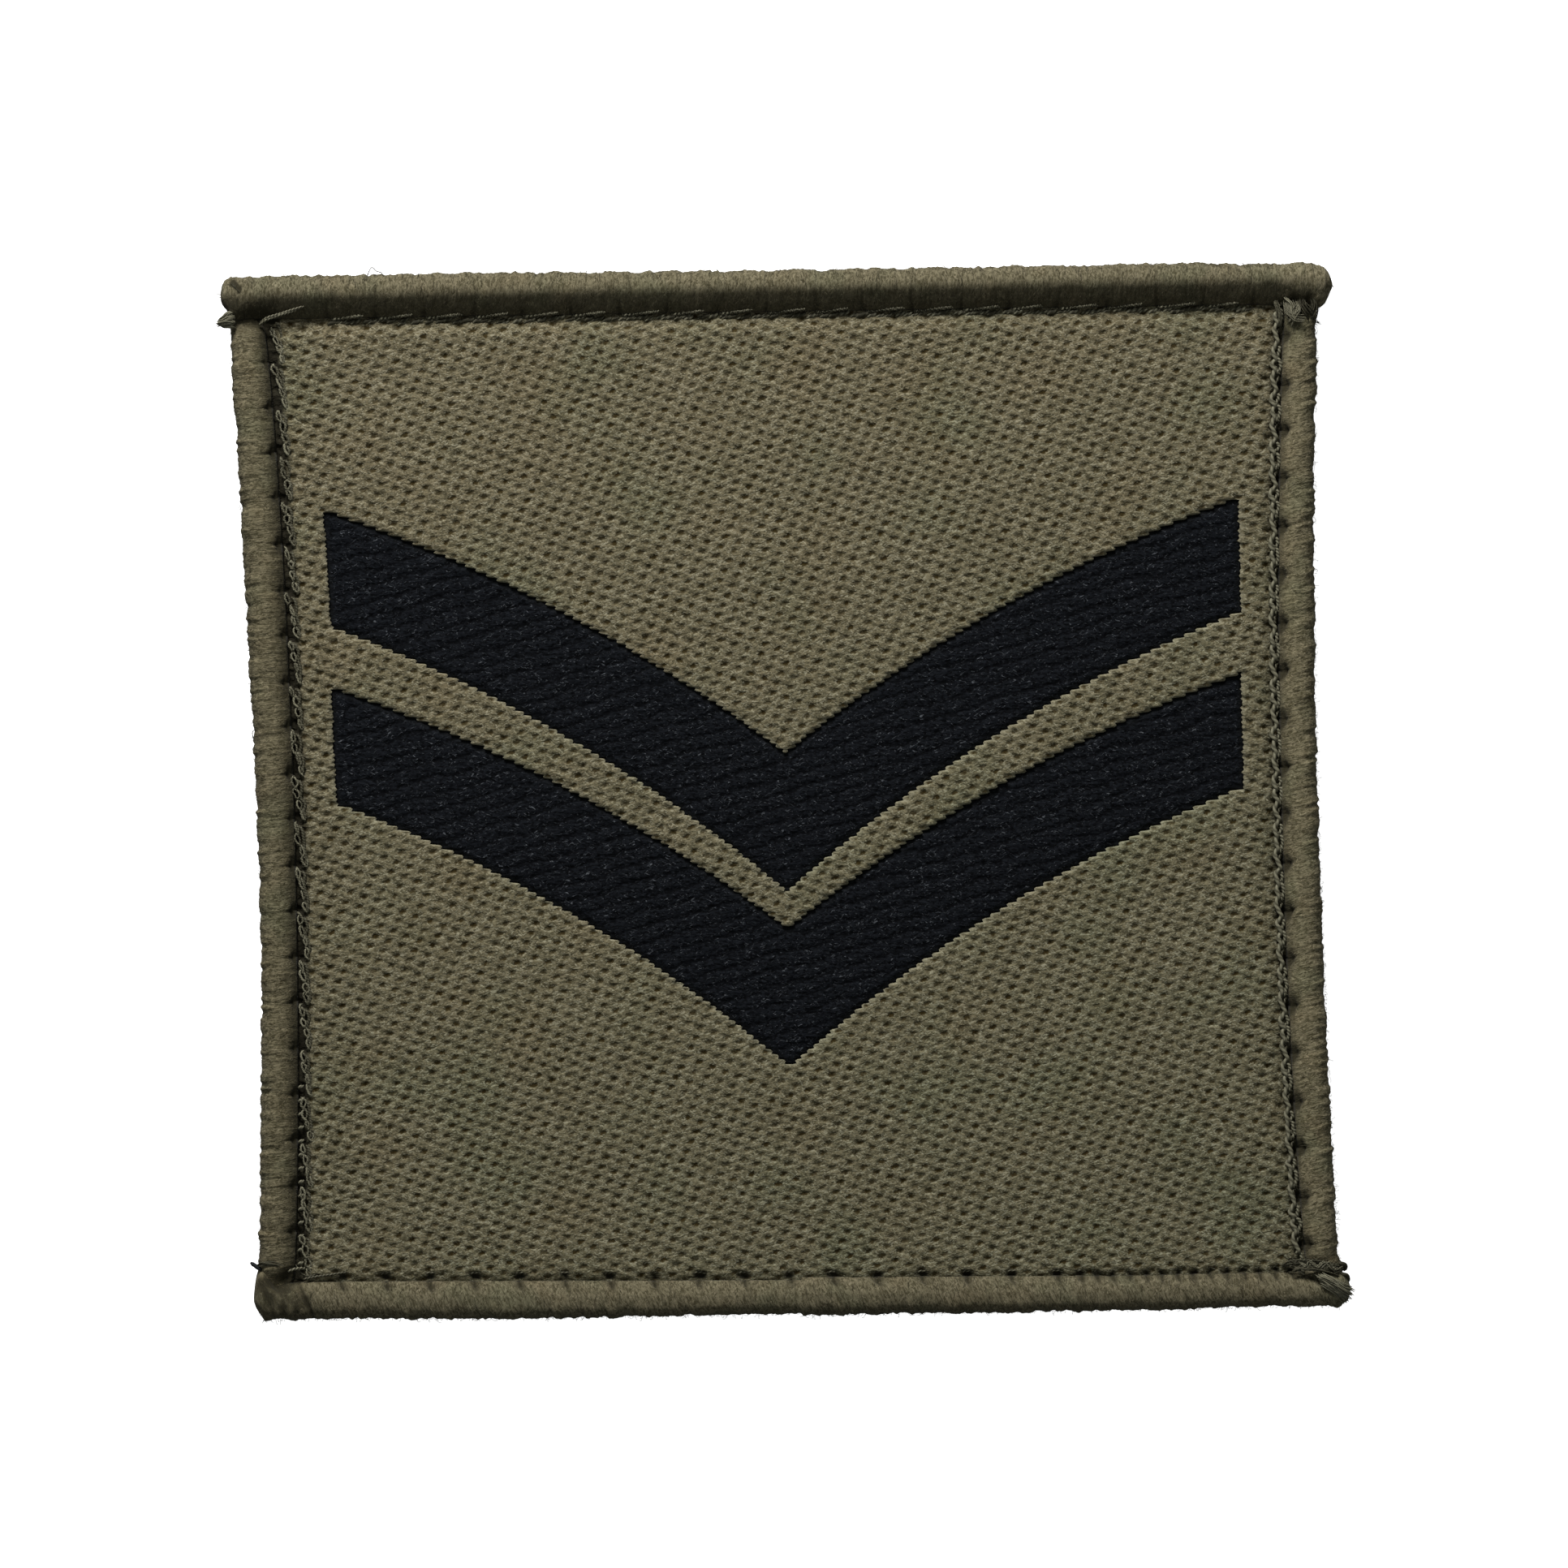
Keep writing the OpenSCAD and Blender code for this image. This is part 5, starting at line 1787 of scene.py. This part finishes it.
def even_light(world, strength, tint):
    """Soft light from all round, stronger from above and from the patch's top."""
    nodes, links = world.node_tree.nodes, world.node_tree.links
    background = nodes["Background"]
    background.inputs["Color"].default_value = (*tint, 1)
    way = nodes.new("ShaderNodeTexCoord")
    facing = nodes.new("ShaderNodeVectorMath")
    facing.operation = "DOT_PRODUCT"
    facing.inputs[1].default_value = BRIGHT_SIDE
    amount = nodes.new("ShaderNodeMapRange")
    for name, number in (
        ("From Min", -0.5), ("From Max", 0.9), ("To Min", 0.42 * strength), ("To Max", strength),
    ):
        amount.inputs[name].default_value = number
    links.new(way.outputs["Generated"], facing.inputs[0])
    links.new(facing.outputs["Value"], amount.inputs["Value"])
    links.new(amount.outputs["Result"], background.inputs["Strength"])


def palette(context):
    """The threads' colours by name."""
    return in_mm(context.scene.patch_colours)


def material(name, make):
    """The material of that name, made the first time that it is asked for."""
    return bpy.data.materials.get(name) or make()


def sewing_thread(context):
    """The sewing thread's material."""
    tint = palette(context)
    return material(
        "sewing_thread", lambda: seam_thread("sewing_thread", tint.seam, tint.seam_deep)
    )


class PATCH_OT_ground_cloth(bpy.types.Operator):
    """Weaves the olive ground cloth, with its pressed edge, groove and two pockets"""

    bl_idname = "patch.ground_cloth"
    bl_label = "Ground cloth"

    def execute(self, context):
        size = sizes(context)
        finish = material("olive_satin", lambda: olive_cloth(palette(context), size.weave))
        piece = make_ground_cloth(size, finish)
        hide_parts("ground_cloth")
        return {"FINISHED"}


class PATCH_OT_chevrons(bpy.types.Operator):
    """Weaves the two black chevrons into the cloth's pockets"""

    bl_idname = "patch.chevrons"
    bl_label = "Chevrons"

    def execute(self, context):
        size = sizes(context)
        finish = material("black_satin", lambda: black_weft(palette(context)))
        for node, apex in (
            ("upper_chevron", size.cloth.apex),
            ("lower_chevron", size.cloth.apex - size.cloth.pitch),
        ):
            piece = make_chevron("woven_" + node, apex, size, finish)
            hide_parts(node)
        return {"FINISHED"}


class PATCH_OT_edge_rolls(bpy.types.Operator):
    """Winds the four edge rolls and their fuzz"""

    bl_idname = "patch.edge_rolls"
    bl_label = "Edge rolls"

    def execute(self, context):
        size = sizes(context)
        finish = material("wound_thread", lambda: edge_thread(palette(context)))
        rolls = [Roll(name, size) for name in ROLLS]
        for roll in rolls:
            make_roll(roll, size, finish)
        make_fuzz(rolls, size, finish)
        return {"FINISHED"}


class PATCH_OT_seams(bpy.types.Operator):
    """Sews the chain seams beside the side rolls and the lock seams beside the end rolls"""

    bl_idname = "patch.seams"
    bl_label = "Seams"

    def execute(self, context):
        size, finish = sizes(context), sewing_thread(context)
        for side in (LEFT, RIGHT):
            make_side_seam(side, size, finish)
        for name in ("top_roll", "bottom_roll"):
            make_end_seam(Roll(name, size), size, finish)
        return {"FINISHED"}


class PATCH_OT_loose_threads(bpy.types.Operator):
    """Adds the thread tails, tufts and stray fibres"""

    bl_idname = "patch.loose_threads"
    bl_label = "Loose threads"

    def execute(self, context):
        black = palette(context).black
        dark = material("dark_fibre", lambda: seam_thread("dark_fibre", black, black))
        make_tails(sizes(context), sewing_thread(context), dark)
        return {"FINISHED"}


class PATCH_OT_declare_cloth(bpy.types.Operator):
    """Looks up the cloth, the chevrons and the pieces that ride on the cloth by name, and does
    nothing more with them
    """

    bl_idname = "patch.declare_cloth"
    bl_label = "Declare cloth"

    def execute(self, context):
        cloth = sizes(context).cloth
        find = bpy.data.objects.get
        on_it = [
            find(name) for name in (
                "wound_left_roll", "wound_right_roll", "wound_top_roll", "wound_bottom_roll",
                "edge_fuzz", "left_chain_seam", "right_chain_seam", "top_lock_seam",
                "bottom_lock_seam", "corner_threads", "stray_fibres",
            )
        ]
        find("woven_ground_cloth")
        for name in ("woven_upper_chevron", "woven_lower_chevron"):
            find(name)
        return {"FINISHED"}


class PATCH_OT_stage(bpy.types.Operator):
    """Sets up the pale floor, the soft light and the camera"""

    bl_idname = "patch.stage"
    bl_label = "Stage"

    def execute(self, context):
        scene, stage, tint = context.scene, context.scene.patch_stage, palette(context)
        finish = material("floor", lambda: floor_finish(tint, stage))
        mesh = bpy.data.meshes.new("floor")
        corners = ((-1, -1), (1, -1), (1, 1), (-1, 1))
        mesh.from_pydata(
            [(x * FLOOR_HALF, y * FLOOR_HALF, -FLOOR_DROP) for x, y in corners],
            [], [(0, 1, 2, 3)],
        )
        mesh.materials.append(finish)
        floor = add_object("floor", mesh)
        floor.visible_diffuse = False
        floor.visible_glossy = False

        world = bpy.data.worlds.new("studio")
        world.use_nodes = True
        even_light(world, stage.ambient, tint.sky)
        scene.world = world

        lamp = bpy.data.lights.new("key", "AREA")
        lamp.shape = "DISK"
        lamp.size = stage.key_size
        lamp.energy = stage.key_power
        lamp.color = tint.lamp
        key = add_object("key", lamp)
        key.location = KEY_PLACE
        key.rotation_mode = "QUATERNION"
        key.rotation_quaternion = (-key.location).to_track_quat("-Z", "Y")

        view = bpy.data.cameras.new("camera")
        view.sensor_width = SENSOR
        view.lens = SENSOR * stage.camera_height / stage.view_width
        view.clip_start, view.clip_end = 0.01, 20.0
        scene.camera = camera = add_object("camera", view)
        height = stage.camera_height + scene.patch_cloth.face
        camera.location = (stage.centre_x, stage.centre_y, height)
        camera.rotation_euler = (0, 0, -stage.turn)
        scene.view_settings.view_transform = "Standard"
        return {"FINISHED"}


class PATCH_PT_panel(bpy.types.Panel):
    """Lists what makes the patch"""

    bl_label = "Rank chevron patch"
    bl_idname = "PATCH_PT_panel"
    bl_space_type = "VIEW_3D"
    bl_region_type = "UI"
    bl_category = "Patch"

    def draw(self, context):
        for maker in OPERATORS:
            self.layout.operator(maker.bl_idname)


GROUPS = {
    "patch_cloth": ClothSizes,
    "patch_weave": WeaveSizes,
    "patch_roll": RollSizes,
    "patch_seam": SeamSizes,
    "patch_colours": PatchColours,
    "patch_stage": StageSettings,
}
OPERATORS = (
    PATCH_OT_ground_cloth,
    PATCH_OT_chevrons,
    PATCH_OT_edge_rolls,
    PATCH_OT_seams,
    PATCH_OT_loose_threads,
    PATCH_OT_declare_cloth,
    PATCH_OT_stage,
)


def register():
    """Adds the settings, the operators and the panel."""
    for name, group in GROUPS.items():
        bpy.utils.register_class(group)
        setattr(bpy.types.Scene, name, PointerProperty(type=group))
    for maker in (*OPERATORS, PATCH_PT_panel):
        bpy.utils.register_class(maker)


def unregister():
    """Takes away all that register added."""
    for maker in (PATCH_PT_panel, *reversed(OPERATORS)):
        bpy.utils.unregister_class(maker)
    for name, group in reversed(GROUPS.items()):
        delattr(bpy.types.Scene, name)
        bpy.utils.unregister_class(group)


def main():
    """Makes the patch and its stage."""
    register()
    bpy.ops.patch.ground_cloth()
    bpy.ops.patch.chevrons()
    bpy.ops.patch.edge_rolls()
    bpy.ops.patch.seams()
    bpy.ops.patch.loose_threads()
    bpy.ops.patch.declare_cloth()
    bpy.ops.patch.stage()


if __name__ == "__main__":
    main()
